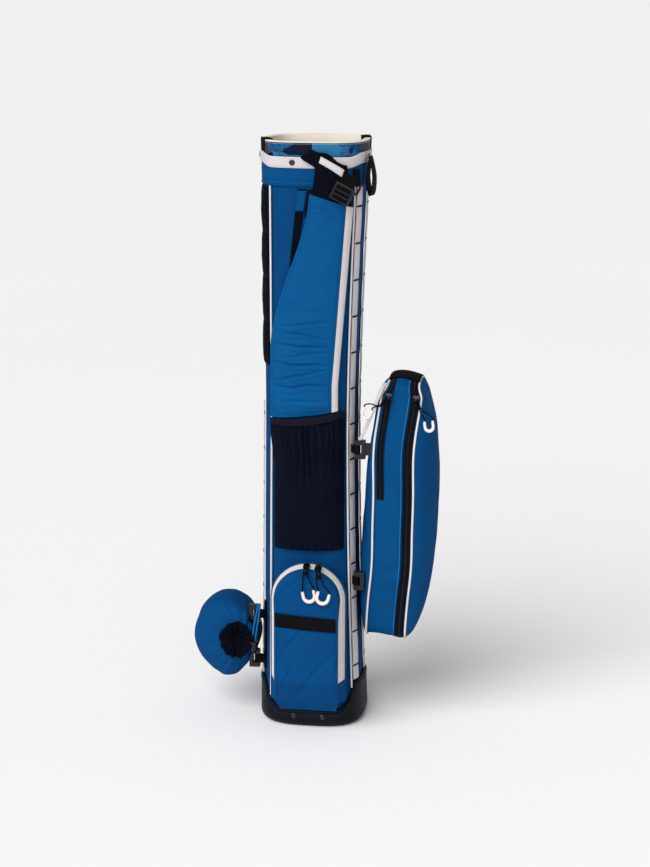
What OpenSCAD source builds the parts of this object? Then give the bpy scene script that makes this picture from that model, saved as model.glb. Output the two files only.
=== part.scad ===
// Slim carry golf bag with a detachable side pocket and a drawstring ball pouch.
// Frame: +Z up, -Y is the front with the strap and pockets, origin at the middle of the base's underside.

/* [Bag body] */
// Height of the rim above the floor
bag_h = 890; // [740:5:1070]
// Width of the body at the cuff and at the base
tube_w = 154; // [140:1:186]
// Depth of the body at the cuff and at the base
tube_d = 146; // [128:1:172]
// Width that the body loses at its waist
waist_w_loss = 17; // [0:1:20]
// Depth that the body loses at its waist
waist_d_loss = 14; // [0:1:18]
// Sideways lean of the soft body at mid height
sag = 5; // [0:0.5:8]
// Thickness of the body fabric
wall = 2; // [1.2:0.1:3]

/* [Cuff] */
// Height of the stiff cuff, from its skirt's hem to the rim
cuff_h = 64; // [54:1:80]
// Height of the white trim band
trim_h = 16; // [10:1:22]
// Height of the printed cover above the trim
cover_h = 20; // [14:1:26]
// Thickness of the moulded cuff ring
ring_t = 6; // [4:0.5:8]
// Radius of a rivet's shank
rivet_r = 2; // [1.5:0.1:2.5]

/* [Base boot] */
// Height of the boot at the sides
boot_side_h = 70; // [50:1:90]
// Height of the boot at the front, under the pocket
boot_front_h = 27; // [25:1:34]
// Thickness of the boot's wall
boot_t = 3.8; // [2.5:0.1:5]
// Thickness of the boot's floor
boot_floor = 4; // [3:0.5:6]

/* [Stays and divider] */
// Radius of a stay rod
stay_r = 4; // [3:0.25:5]
// How far a side stay stands inside the body's widest outline
stay_in = 21; // [20:0.5:27]
// Radius of the divider's padded top bar
divider_r = 8; // [6:0.5:10]

/* [Strap] */
// Thickness of the shoulder pad
pad_t = 8; // [4:0.5:12]
// Width of the pad at its lower end
pad_low_w = 101; // [80:1:102]
// Width of the pad at its upper end
pad_top_w = 61; // [50:1:64]

/* [Front pockets] */
// Outer radius of the zipped pocket's arch
arch_r = 56; // [46:0.5:56.5]
// Height of the arch's centre
arch_z = 208; // [195:1:225]
// Depth of the zipped pocket in front of the body
pocket_out = 38; // [28:1:46]
// Width of the white zip gusset
zip_gusset = 24; // [16:1:26]
// Top of the mesh pocket at its left end
mesh_top = 482; // [450:1:500]
// Bottom of the mesh pocket
mesh_low = 285; // [278:1:310]
// How far the mesh pocket bulges
mesh_bulge = 15; // [8:1:20]

/* [Side pocket] */
// Half of the side pocket's height
side_h2 = 209; // [190:1:215]
// Half of the side pocket's depth, front to back
side_d2 = 62; // [50:1:66]
// Width of the side pocket's zip gusset
side_gusset = 59; // [50:1:64]
// Crown of its outer panel
side_crown = 32; // [16:1:36]
// Radius of the long curve that its zips follow
zip_curve_r = 1070; // [950:10:1400]
// Radius of a clip's pin
pin_r = 2.2; // [1.8:0.1:2.6]

/* [Ball pouch] */
// Length of the pouch from its closed end to its neck
pouch_len = 108; // [90:1:120]
// Half width of the pouch
pouch_w2 = 53; // [44:1:54]
// Radius of the drawn neck
neck_r = 17; // [13:1:20]

/* [Hidden] */

round_fn = 40;
n_body = 3;                 // superellipse exponent of the body's section
gap = 0.4;                  // clearance between two sewn layers
waist_z = 0.54 * bag_h;
cuff_z = bag_h - cuff_h;    // hem of the cuff's skirt
trim_z1 = bag_h - cover_h - 2;
trim_z0 = trim_z1 - trim_h;
rim_t = 2;                  // thickness of the lining folded over the rim
lining_t = 1.2;
skirt_t = 1.5;
trim_t = 1.2;
skirt_off = 0.3;
trim_off = skirt_off + skirt_t + 0.2;
trim_out = trim_off + trim_t;
ring_out = -1;              // the ring's outer face, from the body's outline
ring_in = ring_out - ring_t;
lining_out = ring_in - 0.3;
lining_in = lining_out - lining_t;
socket_h = 12;              // length of the ring's stay sockets
ring_z0 = cuff_z + wall + 6;
stay_x = tube_w / 2 - stay_in;
boot_chamfer = 3;           // chamfer inside the boot, between its floor and its wall
panel_z0 = boot_floor + boot_chamfer + gap;
panel_z1 = ring_z0 - 1;
a_left = 229;               // where the front panel's left seam is, as an angle of the section
a_right = 321;              // and its right seam
a_back_left = 140;
a_back_right = 40;
seam_gap = 0.5;             // degrees left open at a seam

// ---- the body's outline ----
function sgn(v) = v < 0 ? -1 : 1;
function curve(v, n) = sgn(v) * pow(abs(v), 2 / n);
function ease(v) = let (c = max(0, min(1, v))) c * c * (3 - 2 * c);
function loss(z) = z > waist_z ? pow((z - waist_z) / (bag_h - waist_z), 1.5) :
    pow((waist_z - z) / waist_z, 1.5);
function half_w(z) = (tube_w - waist_w_loss * (1 - loss(z))) / 2;
function half_d(z) = (tube_d - waist_d_loss * (1 - loss(z))) / 2;
function lean(z) = -sag * sin(180 * max(0, min(1, z / bag_h)));
// A point on the body's outline, moved out by off
function tube_pt(a, z, off) = [
    lean(z) + (half_w(z) + off) * curve(cos(a), n_body),
    (half_d(z) + off) * curve(sin(a), n_body), z];
// The front face's Y at x, z, moved out by off
function front_y(x, z, off) = let (u = min(0.995, abs(x - lean(z)) / (half_w(z) + off)))
    -(half_d(z) + off) * pow(1 - pow(u, n_body), 1 / n_body);
function steps(a, b, n) = [for (i = [0:n]) a + (b - a) * i / n];
function reversed(v) = [for (i = [len(v) - 1:-1:0]) v[i]];
function mix(a, b, t) = a + (b - a) * t;

// ---- solids from rings of points ----
// rings all have the same even count; each ring is joined to the next, and the ends are closed with strips
module skin(rings, loop = false) {
    n = len(rings[0]);
    m = len(rings);
    points = [for (r = rings) each r];
    sides = [for (i = [0:m - (loop ? 1 : 2)]) for (j = [0:n - 1])
        let (a = i * n + j, b = i * n + (j + 1) % n, c = ((i + 1) % m) * n + (j + 1) % n, d =
            ((i + 1) % m) * n + j)
        each [[a, c, b], [a, d, c]]];
    first = [for (j = [0:n / 2 - 2]) each [[j, j + 1, n - 2 - j], [j, n - 2 - j, n - 1 - j]]];
    k = (m - 1) * n;
    last = [for (j = [0:n / 2 - 2]) each [[k + j, k + n - 2 - j, k + j + 1],
        [k + j, k + n - 1 - j, k + n - 2 - j]]];
    polyhedron(points, loop ? sides : concat(sides, first, last), convexity = 6);
}

// a strip of cloth: rows of inner points and rows of outer points
module sheet(inner, outer) {
    skin([for (i = [0:len(inner) - 1]) concat(outer[i], reversed(inner[i]))]);
}

// a sheet on the body between two angles, from off0 to off1
module body_sheet(a0, a1, zs, off0, off1, na) {
    sheet([for (z = zs) [for (a = steps(a0, a1, na)) tube_pt(a, z, off0)]],
          [for (z = zs) [for (a = steps(a0, a1, na)) tube_pt(a, z, off1)]]);
}

// a band that goes all the way round the body
module body_band(z0, z1, off0, off1, n = 48) {
    corners = [[off1, z0], [off1, z1], [off0, z1], [off0, z0]];
    skin([for (c = corners) [for (i = [0:n - 1]) tube_pt(360 * i / n, c[1], c[0])]], loop = true);
}

module body_core(z0, z1, off, n = 48) {
    skin([for (z = steps(z0, z1, 8)) [for (i = [0:n - 1]) tube_pt(360 * i / n, z, off)]]);
}

// a round tube along a route; ref is any direction that the route never runs along
function unit(v) = v / norm(v);
function route_dir(p, i) = unit(p[min(i + 1, len(p) - 1)] - p[max(i - 1, 0)]);
module cord(p, r, ref = [0, 1, 0], sides = 8) {
    skin([for (i = [0:len(p) - 1])
        let (t = route_dir(p, i), u = unit(cross(t, ref)), v = cross(t, u))
        [for (k = [0:sides - 1]) p[i] + r * (cos(360 * k / sides) * u + sin(360 * k / sides) * v)]]);
}

// a closed cord round a loop of points
module cord_loop(p, r, ref, sides = 6) {
    n = len(p);
    skin([for (i = [0:n - 1])
        let (t = unit(p[(i + 1) % n] - p[(i + n - 1) % n]), u = unit(cross(t, ref)), v = cross(t, u))
        [for (k = [0:sides - 1]) p[i] + r * (cos(360 * k / sides) * u + sin(360 * k / sides) * v)]], loop =
            true);
}

// ---- base ----
function boot_h(a) = let (s = sin(a))
    s < 0 ? mix(boot_side_h, boot_front_h, ease((-s - 0.45) / 0.5)) :
        mix(boot_side_h, boot_side_h - 12, ease(s));
function boot_ring(f, z_low, off) = [for (i = [0:47]) let (a = 7.5 * i, z = mix(z_low, boot_h(a), f))
    tube_pt(a, z, off)];
boot_in = 0.6;
boot_out = boot_in + boot_t;
boot_corner = [[-5, 0], [-1.5, 1.8], [boot_out - 1.2, 6], [boot_out, 13]];
screw_x = 22;
screw_z = 18;
collar_h = 30;
collar_out = -wall - gap;
collar_in = collar_out - 2.6;
screw_r = 1.9;

module base_screw_at(clear, long) {
    for (s = [-1, 1]) for (x = [-screw_x, screw_x])
        translate([x, s * (tube_d / 2 - 8), screw_z]) rotate([s * -90, 0, 0])
            cylinder(h = long, r = screw_r + clear, $fn = 24);
}

module base_boot() {
    color("midnightblue") difference() {
        skin(concat(
            [for (c = boot_corner) boot_ring(0, c[1], c[0])],
            [boot_ring(1, 0, boot_out)], [boot_ring(1, 0, boot_in)],
            [boot_ring(0, boot_floor + boot_chamfer, boot_in),
                boot_ring(0, boot_floor, boot_in - boot_chamfer)]));
        base_screw_at(0.1, 30);
    }
}

module base_collar() {
    color("black") difference() {
        union() {
            difference() {
                body_core(boot_floor + gap, boot_floor + collar_h, collar_out);
                body_core(boot_floor, boot_floor + collar_h + 1, collar_in);
            }
            stay_sockets(boot_floor + 7, boot_floor + collar_h, collar_in + 1.2);
        }
        stay_bores(boot_floor + 9, boot_floor + collar_h + 1);
        base_screw_at(0.1, 30);
    }
}

module base_screws() {
    color("gray") intersection() {
        for (s = [-1, 1]) for (x = [-screw_x, screw_x])
            translate([x, s * (-front_y(x, screw_z, boot_out + 0.3)), screw_z]) rotate([s * 90, 0, 0]) {
                translate([0, 0, -1.6]) cylinder(h = 1.6, r = 4, $fn = round_fn);
                cylinder(h = boot_out - collar_in + 2, r = screw_r, $fn = round_fn);
            }
        translate([-200, -200, 0]) cube([400, 400, 60]);
    }
}

// ---- body panels, seams and stays ----
panel_rows = 11;
module panel(a0, a1, na) {
    color("steelblue") difference() {
        body_sheet(a0 + seam_gap, a1 - seam_gap, steps(panel_z0, panel_z1, panel_rows), -wall, 0, na);
        base_screw_at(0.1, 30);
    }
}
module front_panel() { panel(a_left, a_right, 12); }
module right_panel() { panel(a_right - 360, a_back_right, 10); }
module back_panel() { panel(a_back_right, a_back_left, 12); }
module left_panel() { panel(a_back_left, a_left, 12); }

piping_r = 1.5;
module seam_piping() {
    color("white") for (a = [a_left, a_right, a_back_left, a_back_right])
        cord([for (z = steps(boot_h(a) + 3, cuff_z - 1, 12)) tube_pt(a, z, gap + piping_r)], piping_r,
            [0, 1, 0], 6);
}

stay_back_y = tube_d / 2 - stay_in + 1;
stay_z0 = boot_floor + 9.5;
stay_z1 = ring_z0 + socket_h - 1.5;
module stay_spots() {
    for (s = [-1, 1]) translate([s * stay_x, 0, 0]) children();
    translate([0, stay_back_y, 0]) rotate([0, 0, 90]) children();
}
// a boss round each stay and the rib that joins it to the ring's wall
module stay_sockets(z0, z1, off) {
    intersection() {
        body_core(z0, z1, off);
        union() {
            for (s = [-1, 1]) translate([s * stay_x, 0, z0]) {
                cylinder(h = z1 - z0, r = stay_r + 2.6, $fn = round_fn);
                translate([s > 0 ? 0 : -30, -2.5, 0]) cube([30, 5, z1 - z0]);
            }
            translate([0, stay_back_y, z0]) {
                cylinder(h = z1 - z0, r = stay_r + 2.6, $fn = round_fn);
                translate([-2.5, 0, 0]) cube([5, 30, z1 - z0]);
            }
        }
    }
}
module stay_bores(z0, z1) {
    stay_spots() translate([0, 0, z0]) cylinder(h = z1 - z0, r = stay_r + 0.05, $fn = round_fn);
}
module stays() {
    color("silver") stay_spots() translate([0, 0, stay_z0])
        cylinder(h = stay_z1 - stay_z0, r = stay_r, $fn = round_fn);
}

// ---- cuff ----
rivet_z = (trim_z0 + trim_z1) / 2;
rivet_x = 25;
side_rivet_y = 18;
rivet_reach = tube_d / 2 + 12;
module rivet_holes() {
    for (s = [-1, 1]) {
        for (x = [-rivet_x, rivet_x]) translate([x, s * 55, rivet_z]) rotate([s * -90, 0, 0])
            cylinder(h = 40, r = rivet_r + 0.1, $fn = 24);
        translate([s * 55, -side_rivet_y, rivet_z]) rotate([0, s * 90, 0])
            cylinder(h = 40, r = rivet_r + 0.1, $fn = 24);
    }
}
divider_z = bag_h - 18;
bar_r = divider_r - 4;
bar_x2 = half_w(divider_z) + ring_in + 4;
module bar_bore(clear) {
    translate([lean(divider_z) - bar_x2 - clear, 0, divider_z]) rotate([0, 90, 0])
        cylinder(h = 2 * (bar_x2 + clear), r = bar_r + clear, $fn = round_fn);
}
module rivet(to) {
    translate([0, 0, 0.8]) cylinder(h = 1.4, r = 4.2, $fn = round_fn);
    translate([0, 0, -to]) cylinder(h = to + 1, r = rivet_r, $fn = round_fn);
}
module cuff_rivets() {
    to = trim_out - ring_in - 1;
    color("dimgray") for (s = [-1, 1]) {
        for (x = [-rivet_x, rivet_x]) translate([x, -s * front_y(x, rivet_z, trim_out), rivet_z])
            rotate([s * -90, 0, 0]) rivet(to);
        translate([lean(rivet_z) + s * (half_w(rivet_z) + trim_out), -side_rivet_y, rivet_z])
            rotate([0, s * 90, 0]) rivet(to);
    }
}
module cuff_ring() {
    color("black") difference() {
        union() {
            body_band(ring_z0, bag_h - rim_t - 0.5, ring_in, ring_out);
            stay_sockets(ring_z0, ring_z0 + socket_h, ring_in + 1.2);
        }
        stay_bores(ring_z0 - 1, ring_z0 + socket_h - 1);
        rivet_holes();
        bar_bore(0.05);
    }
}
module cuff_cover() {
    color("royalblue") body_band(trim_z1 + 0.3, bag_h - rim_t - 0.4, ring_out + gap, 1);
}
module cuff_lining() {
    z0 = ring_z0 + socket_h + 0.6;
    corners = [[lining_in, z0], [lining_out, z0], [lining_out, bag_h - rim_t], [1, bag_h - rim_t],
        [1, bag_h], [lining_in, bag_h]];
    color("whitesmoke") difference() {
        skin([for (c = corners) [for (i = [0:47]) tube_pt(7.5 * i, c[1], c[0])]], loop = true);
        bar_bore(0.4);
    }
}
module cuff_skirt() {
    color("steelblue") difference() {
        body_band(cuff_z, trim_z1, skirt_off, skirt_off + skirt_t);
        rivet_holes();
    }
}
module cuff_trim() {
    color("gainsboro") difference() {
        body_band(trim_z0, trim_z1, trim_off, trim_out);
        rivet_holes();
    }
}
// dark webbing folded over the rim at the front left and rear right
tab_t = 1.4;
module rim_tab(a0, a1) {
    path = [[1.4, trim_z1 + 0.4], [1.4, bag_h + 0.3], [lining_in - 0.4, bag_h + 0.3],
        [lining_in - 0.4, bag_h - 30]];
    back = [[lining_in - 0.4 - tab_t, bag_h - 30], [lining_in - 0.4 - tab_t, bag_h + 0.3 + tab_t],
            [1.4 + tab_t, bag_h + 0.3 + tab_t], [1.4 + tab_t, trim_z1 + 0.4]];
    section = concat(path, back);
    skin([for (a = steps(a0, a1, 5)) [for (c = section) tube_pt(a, c[1], c[0])]]);
}
module rim_tabs() {
    color("black") {
        rim_tab(190, 216);
        rim_tab(4, 30);
    }
}
divider_x2 = half_w(divider_z) + lining_in - 3;
module divider_bar() { color("dimgray") bar_bore(0); }
module divider_sleeve() {
    color("whitesmoke") translate([lean(divider_z) - divider_x2, 0, divider_z]) rotate([0, 90, 0])
        difference() {
        cylinder(h = 2 * divider_x2, r = divider_r, $fn = round_fn);
        translate([0, 0, -1]) cylinder(h = 2 * divider_x2 + 2, r = bar_r + 0.1, $fn = round_fn);
    }
}
sheet_x2 = stay_x - stay_r - 3;
module divider_sheet() {
    color("slategray") translate([-sheet_x2, -0.6, boot_floor + 6])
        cube([2 * sheet_x2, 1.2, divider_z - divider_r - 0.4 - boot_floor - 6]);
}

// ---- webbing rails ----
a_rail_rf = a_right + 12;
a_rail_rr = 7;
a_rail_l = 196;
rail_da = 5.5;              // half a rail's width, in degrees of the section
rail_t = 1.6;
tack_step = 54;
left_rail_top = 500;
module rail(a, z1) {
    color("gainsboro") body_sheet(a - rail_da, a + rail_da, steps(boot_h(a) + 2, z1, 14), gap, gap + rail_t,
        3);
}
module side_rails() {
    rail(a_rail_rf, cuff_z - 2);
    rail(a_rail_rr, cuff_z - 2);
    rail(a_rail_l, left_rail_top);
}
module tack(a, z) {
    across = steps(a - rail_da, a + rail_da, 3);
    sheet([for (zz = [z - 0.9, z + 0.9]) [for (b = across) tube_pt(b, zz, gap + rail_t + 0.2)]],
          [for (zz = [z - 0.9, z + 0.9]) [for (b = across) tube_pt(b, zz, gap + rail_t + 0.9)]]);
}
module rail_tacks() {
    color("black") {
        for (z = [cuff_z - 30:-tack_step:90]) {
            tack(a_rail_rf, z);
            tack(a_rail_rr, z);
        }
        for (z = [left_rail_top - 18:-tack_step:90]) tack(a_rail_l, z);
    }
}
// quilted pad on the left, which rests on the carrier's hip
pad_low_z = cuff_z - 266;
hip_rolls = 4;
module hip_pad() {
    zs = steps(pad_low_z, cuff_z - 3, 6 * hip_rolls);
    aa = steps(146, a_left - 5, 8);
    color("midnightblue") sheet(
        [for (z = zs) [for (a = aa) tube_pt(a, z, gap)]],
        [for (z = zs) let (f = (z - pad_low_z) / (cuff_z - 3 - pad_low_z))
            [for (a = aa) tube_pt(a, z, gap + 1.2 + 2.2 * pow(abs(sin(180 * hip_rolls * f)), 0.5)
                * pow(sin(180 * (a - 142) / (a_left - 1 - 142)), 0.4))]]);
}
// webbing loops sewn under the trim: a standing loop for a towel, and a flat one that holds the strap's ring
loop_x = half_w(rivet_z) + trim_out;
ring_tab_x = tube_w / 2 - 11;
ring_z = trim_z0 - 22;
ring_y = front_y(ring_tab_x, ring_z, trim_out + 3.2);
ring_wire = 1.5;
function oval(rx, rz) = [for (a = [0:10:350]) [rx * cos(a), rz * sin(a)]];
module cuff_loops() {
    rx = 6;
    rz = 29;
    color("black") {
        translate([loop_x + rx + 0.5, -24, trim_z1 - rz]) rotate([90, 0, 0]) linear_extrude(18) difference() {
            polygon(oval(rx, rz));
            polygon(oval(rx - 1.8, rz - 1.8));
        }
        // the flat loop closes round the ring's upper wire
        translate([ring_tab_x, ring_y, ring_z]) rotate([0, 0, 42]) translate([-5, 0, 0]) {
            rotate([0, 90, 0]) difference() {
                cylinder(h = 10, r = ring_wire + 1.2, $fn = round_fn);
                translate([0, 0, -1]) cylinder(h = 12, r = ring_wire + 0.05, $fn = round_fn);
            }
            translate([0, -0.6, ring_wire + 0.5]) cube([10, 1.4, 20]);
        }
    }
}
module strap_ring() {
    color("dimgray") translate([ring_tab_x, ring_y, ring_z]) rotate([0, 0, 42]) {
        translate([-7, 0, 0]) rotate([0, 90, 0]) cylinder(h = 14, r = ring_wire, $fn = round_fn);
        for (k = [-1, 1]) ring_leg(k);
    }
}
module ring_leg(k) {
    cord([[k * 6.6, 0, 0.6], [k * 7.4, 0, -3], [k * 6.5, 0, -7], [k * 3.6, 0, -12], [k * 1.2, 0, -15.5],
        [-k * 1, 0, -16.4]],
        ring_wire, [0, 1, 0], 8);
}

// ---- front pockets ----
// webbing end that hangs beside the pad, and the sleeve that holds it
tail_top = [-11, cuff_z - 4];
tail_low = [-27, cuff_z - 116];
tail_w = 13;
function tail_pt(f, s, off) = let (x = mix(tail_top[0], tail_low[0], f) + s * tail_w / 2, z =
    mix(tail_top[1], tail_low[1], f))
    [x, front_y(x, z, off), z];
module strap_tail() {
    color("midnightblue") sheet([for (f = steps(1, 0, 6)) [for (s = [-1, 0, 1]) tail_pt(f, s, gap)]],
                                [for (f = steps(1, 0, 6)) [for (s = [-1, 0, 1]) tail_pt(f, s, gap + 1.4)]]);
}
module strap_tail_sleeve() {
    color("steelblue") sheet([for (f = steps(0.28, 0.02, 2))
        [for (s = [-1.1, 0, 1.1]) tail_pt(f, s, gap + 1.6)]],
                             [for (f = steps(0.28, 0.02, 2))
                                 [for (s = [-1.1, 0, 1.1]) tail_pt(f, s, gap + 2.9)]]);
}
mesh_left = -tube_w * 26 / 77;
mesh_right = tube_w * 51 / 154;
mesh_rise = 15;             // how much higher the elastic is at its right end
band_h = 11;
mesh_t = 1.2;
function mesh_top_at(x) = mesh_top + mesh_rise * pow(max(0, min(1, (x - mesh_left + 8) / 116)), 1.6);
// bulge across u (0 left, 1 right) and up v (0 bottom, 1 top)
function mesh_out(u, v) = mesh_bulge * pow(sin(180 * u), 0.55) * pow(sin(180 * min(1, 0.04 + 0.62 * v)), 0.6);
module mesh_pocket() {
    us = steps(0, 1, 12);
    vs = steps(0, 1, 9);
    function spot(u, v, off) = let (x = mix(mesh_left, mesh_right, u), z =
        mix(mesh_low, mesh_top_at(x) - band_h - 0.4, v))
        [x, front_y(x, z, off), z];
    inner = [for (v = vs) [for (u = us) spot(u, v, gap + 0.2 + mesh_out(u, v))]];
    outer = [for (v = vs) [for (u = us) spot(u, v, gap + 0.2 + mesh_t + mesh_out(u, v))]];
    floor_in = [for (u = us) spot(u, 0, gap)];
    floor_z = mesh_t;
    color("midnightblue") union() {
        sheet(inner, outer);
        // the sewn hem along the bottom
        sheet([[for (u = us) let (p = spot(u, 0, gap)) [p[0], p[1], p[2] - 3]],
            [for (u = us) let (p = spot(u, 0, gap)) [p[0], p[1], p[2] + floor_z]]],
              [[for (u = us) let (p = spot(u, 0, gap + 1 + mesh_out(u, 0) * 0.6)) [p[0], p[1], p[2] - 3]],
               [for (u = us) let (p = spot(u, 0, gap + 1.2 + mesh_out(u, 0))) [p[0], p[1], p[2] + floor_z]]]);
    }
}
module mesh_elastic() {
    xs = steps(mesh_left - 8, mesh_right + 1, 14);
    function at(x, dz, off) = let (z = mesh_top_at(x) + dz, u = (x - mesh_left) / (mesh_right - mesh_left),
        b = mesh_out(max(0, min(1, u)), 1)) [x, front_y(x, z, off + max(b, 3.4)), z];
    color("black") sheet([for (dz = [-band_h, 0]) [for (x = xs) at(x, dz, 0.4)]],
                         [for (dz = [-band_h, 0]) [for (x = xs) at(x, dz, 2.6)]]);
}

// the zipped pocket: an arch of gusset in front of the body, and a puffed front
arch_x = 1;
front_face = tube_d / 2;    // the body's front at its fullest
zip_y1 = -front_face - pocket_out + 6;
zip_y0 = zip_y1 + zip_gusset;
arch_flare = 8.5;           // how much narrower the pocket's front edge is
face_r = arch_r - arch_flare;
flare_a = atan(arch_flare / zip_gusset);
gusset_low = 84;            // lower ends of the white zip gusset
rear_low = boot_front_h + 21;
module arch_2d(r, low) {
    translate([arch_x, arch_z]) circle(r, $fn = 96);
    translate([arch_x - r, low]) square([2 * r, arch_z - low]);
}
module pocket_rear_gusset() {
    color("steelblue") difference() {
        translate([0, -40, 0]) rotate([90, 0, 0]) linear_extrude(-40 - zip_y0 - 1) difference() {
            arch_2d(arch_r, rear_low);
            arch_2d(arch_r - wall, rear_low - 1);
        }
        body_core(boot_front_h, bag_h / 2, gap + 0.2, 96);
    }
}
// the arch as [x, z] for a radius, from the low left end over the top to the low right end
function arch_path(r, low) = concat(
    [for (z = steps(low, arch_z - 12, 4)) [arch_x - r, z]],
    [for (a = [180:-10:0]) [arch_x + r * cos(a), arch_z + r * sin(a)]],
    [for (z = steps(arch_z - 12, low, 4)) [arch_x + r, z]]);
// a band on the flared gusset between two shares of its depth, from off0 to off1 off its surface
module gusset_strip(y0, y1, off0, off1, low) {
    function ring(share, off) = let (r = arch_r - arch_flare * share + off * cos(flare_a),
        y = mix(zip_y0, zip_y1, share) - off * sin(flare_a)) [for (q = arch_path(r, low)) [q[0], y, q[1]]];
    rear = [ring(y0, off0), ring(y0, off1)];
    front = [ring(y1, off0), ring(y1, off1)];
    n = len(rear[0]);
    skin([for (i = [0:n - 1]) [rear[1][i], front[1][i], front[0][i], rear[0][i]]]);
}
module pocket_zip_gusset() { color("gainsboro") gusset_strip(0, 1, -wall, 0, gusset_low); }
module pocket_zip_teeth() { color("white") gusset_strip(0.42, 0.58, 0.2, 1.3, gusset_low + 4); }
// puffed front face; its lower end runs back into the boot
function face_half(z) = z > arch_z ? sqrt(max(0.01, face_r * face_r - (z - arch_z) * (z - arch_z)))
    : face_r + (z < gusset_low ? (gusset_low - z) * 0.05 : 0);
function face_back(z) = zip_y1 - 0.3 + (z < gusset_low ? (gusset_low - z) * 0.42 : 0);
face_puff = 4;
module pocket_front() {
    us = steps(-1, 1, 12);
    zs = concat(steps(boot_front_h + 3, gusset_low, 3), steps(gusset_low + 20, arch_z, 5),
        [for (a = [12:13:77]) arch_z + face_r * sin(a)], [arch_z + face_r - 1]);
    function px(u, z) = arch_x + u * face_half(z);
    function puff(u, z) = 1.4 + face_puff * pow(max(0, 1 - u * u),
        0.5) * ease((z - boot_front_h) / 60) * ease((arch_z + face_r - z) / 40);
    // blue ends of the gusset, below the zip
    function side(z, b, d) = let (x = arch_r - arch_flare * b - (z < gusset_low ?
        (gusset_low - z) * 0.03 * b : 0))
        [x - d, mix(zip_y0 - 0.2, face_back(z) + 0.4, b), z];
    zz = steps(rear_low, gusset_low - 0.5, 3);
    color("steelblue") {
        sheet([for (z = zs) [for (u = us) [px(u, z), face_back(z), z]]],
              [for (z = zs) [for (u = us) [px(u, z), face_back(z) - puff(u, z), z]]]);
        translate([arch_x, 0, 0]) for (m = [0, 1]) mirror([m, 0, 0])
            sheet([for (z = zz) [side(z, 1, wall), side(z, 0, wall)]],
                [for (z = zz) [side(z, 1, 0), side(z, 0, 0)]]);
    }
}
web_z = 180;
web_h = 21;
module pocket_webbing() {
    us = steps(-0.99, 0.94, 10);
    function at(u, dz, out) = let (z = web_z + dz - 3 * u)
        [arch_x + u * face_half(z), face_back(z) - 1.4 - face_puff * pow(1 - u * u, 0.5) - out, z];
    color("black") sheet([for (dz = [-web_h / 2, web_h / 2]) [for (u = us) at(u, dz, 0.3)]],
                         [for (dz = [-web_h / 2, web_h / 2]) [for (u = us) at(u, dz, 1.9)]]);
}

// ---- zip sliders and pulls ----
// a slider in its own frame: it travels along X and stands up along Z, with its eye's hole along Y
eye_up = 6.6;
eye_r = 1.1;
module slider(tilt = 0) {
    difference() {
        union() {
            rotate([tilt, 0, 0]) difference() {
                translate([-5, -4.5, 0]) cube([10, 9, 4]);
                translate([-6, -2.8, -1]) cube([12, 5.6, 2.4]);
            }
            translate([-2.6, -1.6, 2.4]) cube([5.2, 3.2, eye_up]);
        }
        translate([0, -5, eye_up]) rotate([-90, 0, 0]) cylinder(h = 10, r = eye_r, $fn = 24);
    }
}
// the pull's pin in the slider's eye
module eye_pin() {
    rotate([-90, 0, 0]) translate([0, 0, -2.8]) cylinder(h = 5.6, r = eye_r - 0.05, $fn = 24);
}
// a U-shaped moulded grip hanging from its two arm ends
grip_r = 6;
grip_t = 2.3;
grip_arm = 8;
front_grip_r = 8.5;
front_grip_t = 2.6;
module grip(r = grip_r, t = grip_t) {
    color("white") {
        translate([0, 0, -grip_arm]) rotate([90, 0, 0]) rotate_extrude(angle = -180, $fn = 48)
            translate([r, 0]) circle(t, $fn = 24);
        for (k = [-1, 1]) translate([k * r, 0, -grip_arm]) cylinder(h = grip_arm, r = t, $fn = 24);
    }
}
// where an arm of a grip starts, for a grip hung at p and turned by a about Y
function arm_end(p, a, k, r = grip_r) = [p[0] + k * r * cos(a), p[1], p[2] - k * r * sin(a)];

// front pocket: both sliders run on the arch, and their pulls hang over its edge
slider_left_a = -1;         // degrees of each slider from the arch's top
slider_right_a = 17;
slider_r = arch_r - arch_flare / 2 + 2;
pull_left = [5, -20.6, -37];
pull_right = [11, -27.5, -34];
module arch_frame(a) { translate([arch_x, (zip_y0 + zip_y1) / 2, arch_z]) rotate([0, a, 0])
    translate([0, 0, slider_r]) children(); }
function hang_path(end, side, k, start) = let (p = arm_end(end, side, k, front_grip_r), f = end[1]) [
    [k * 0.5, start, 0], [k * 0.9, start - 3, -0.6], [k * 1.2 + p[0] * 0.1, f * 0.55, -4],
        [k * 1.6 + p[0] * 0.2, f * 0.85, -10],
    [mix(k * 2, p[0], 0.45), f, -19], [mix(k * 2, p[0], 0.8), f, mix(-19, p[2], 0.55)], [p[0], f, p[2] + 5],
        [p[0], f, p[2] - 1.5]];
module pocket_slider(a) { color("dimgray") arch_frame(a) slider(flare_a); }
module pocket_pull(a, end, lean_a) {
    arch_frame(a) translate([0, 0, eye_up]) rotate([0, -a, 0]) {
        color("black") {
            eye_pin();
            for (k = [-1, 1]) cord(hang_path(end, lean_a, k, -2), 1, [1, 0, 0], 6);
        }
        translate(end) rotate([0, lean_a, 0]) grip(front_grip_r, front_grip_t);
    }
}
module pocket_slider_left() { pocket_slider(slider_left_a); }
module pocket_slider_right() { pocket_slider(slider_right_a); }
module pocket_pull_left() { pocket_pull(slider_left_a, pull_left, -12); }
module pocket_pull_right() { pocket_pull(slider_right_a, pull_right, 14); }

// ---- strap ----
strap_lift = 4.3;           // clear of the seam piping and the webbing under it
pad_z1 = cuff_z - 20;
pad_low_gap = 2;
pad_x0_top = 1;
pad_x0_low = 18 - tube_w / 2;
edge_w = 9;
function cuff_step(z) = trim_out * ease((z - (cuff_z - 34)) / 26);
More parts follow.
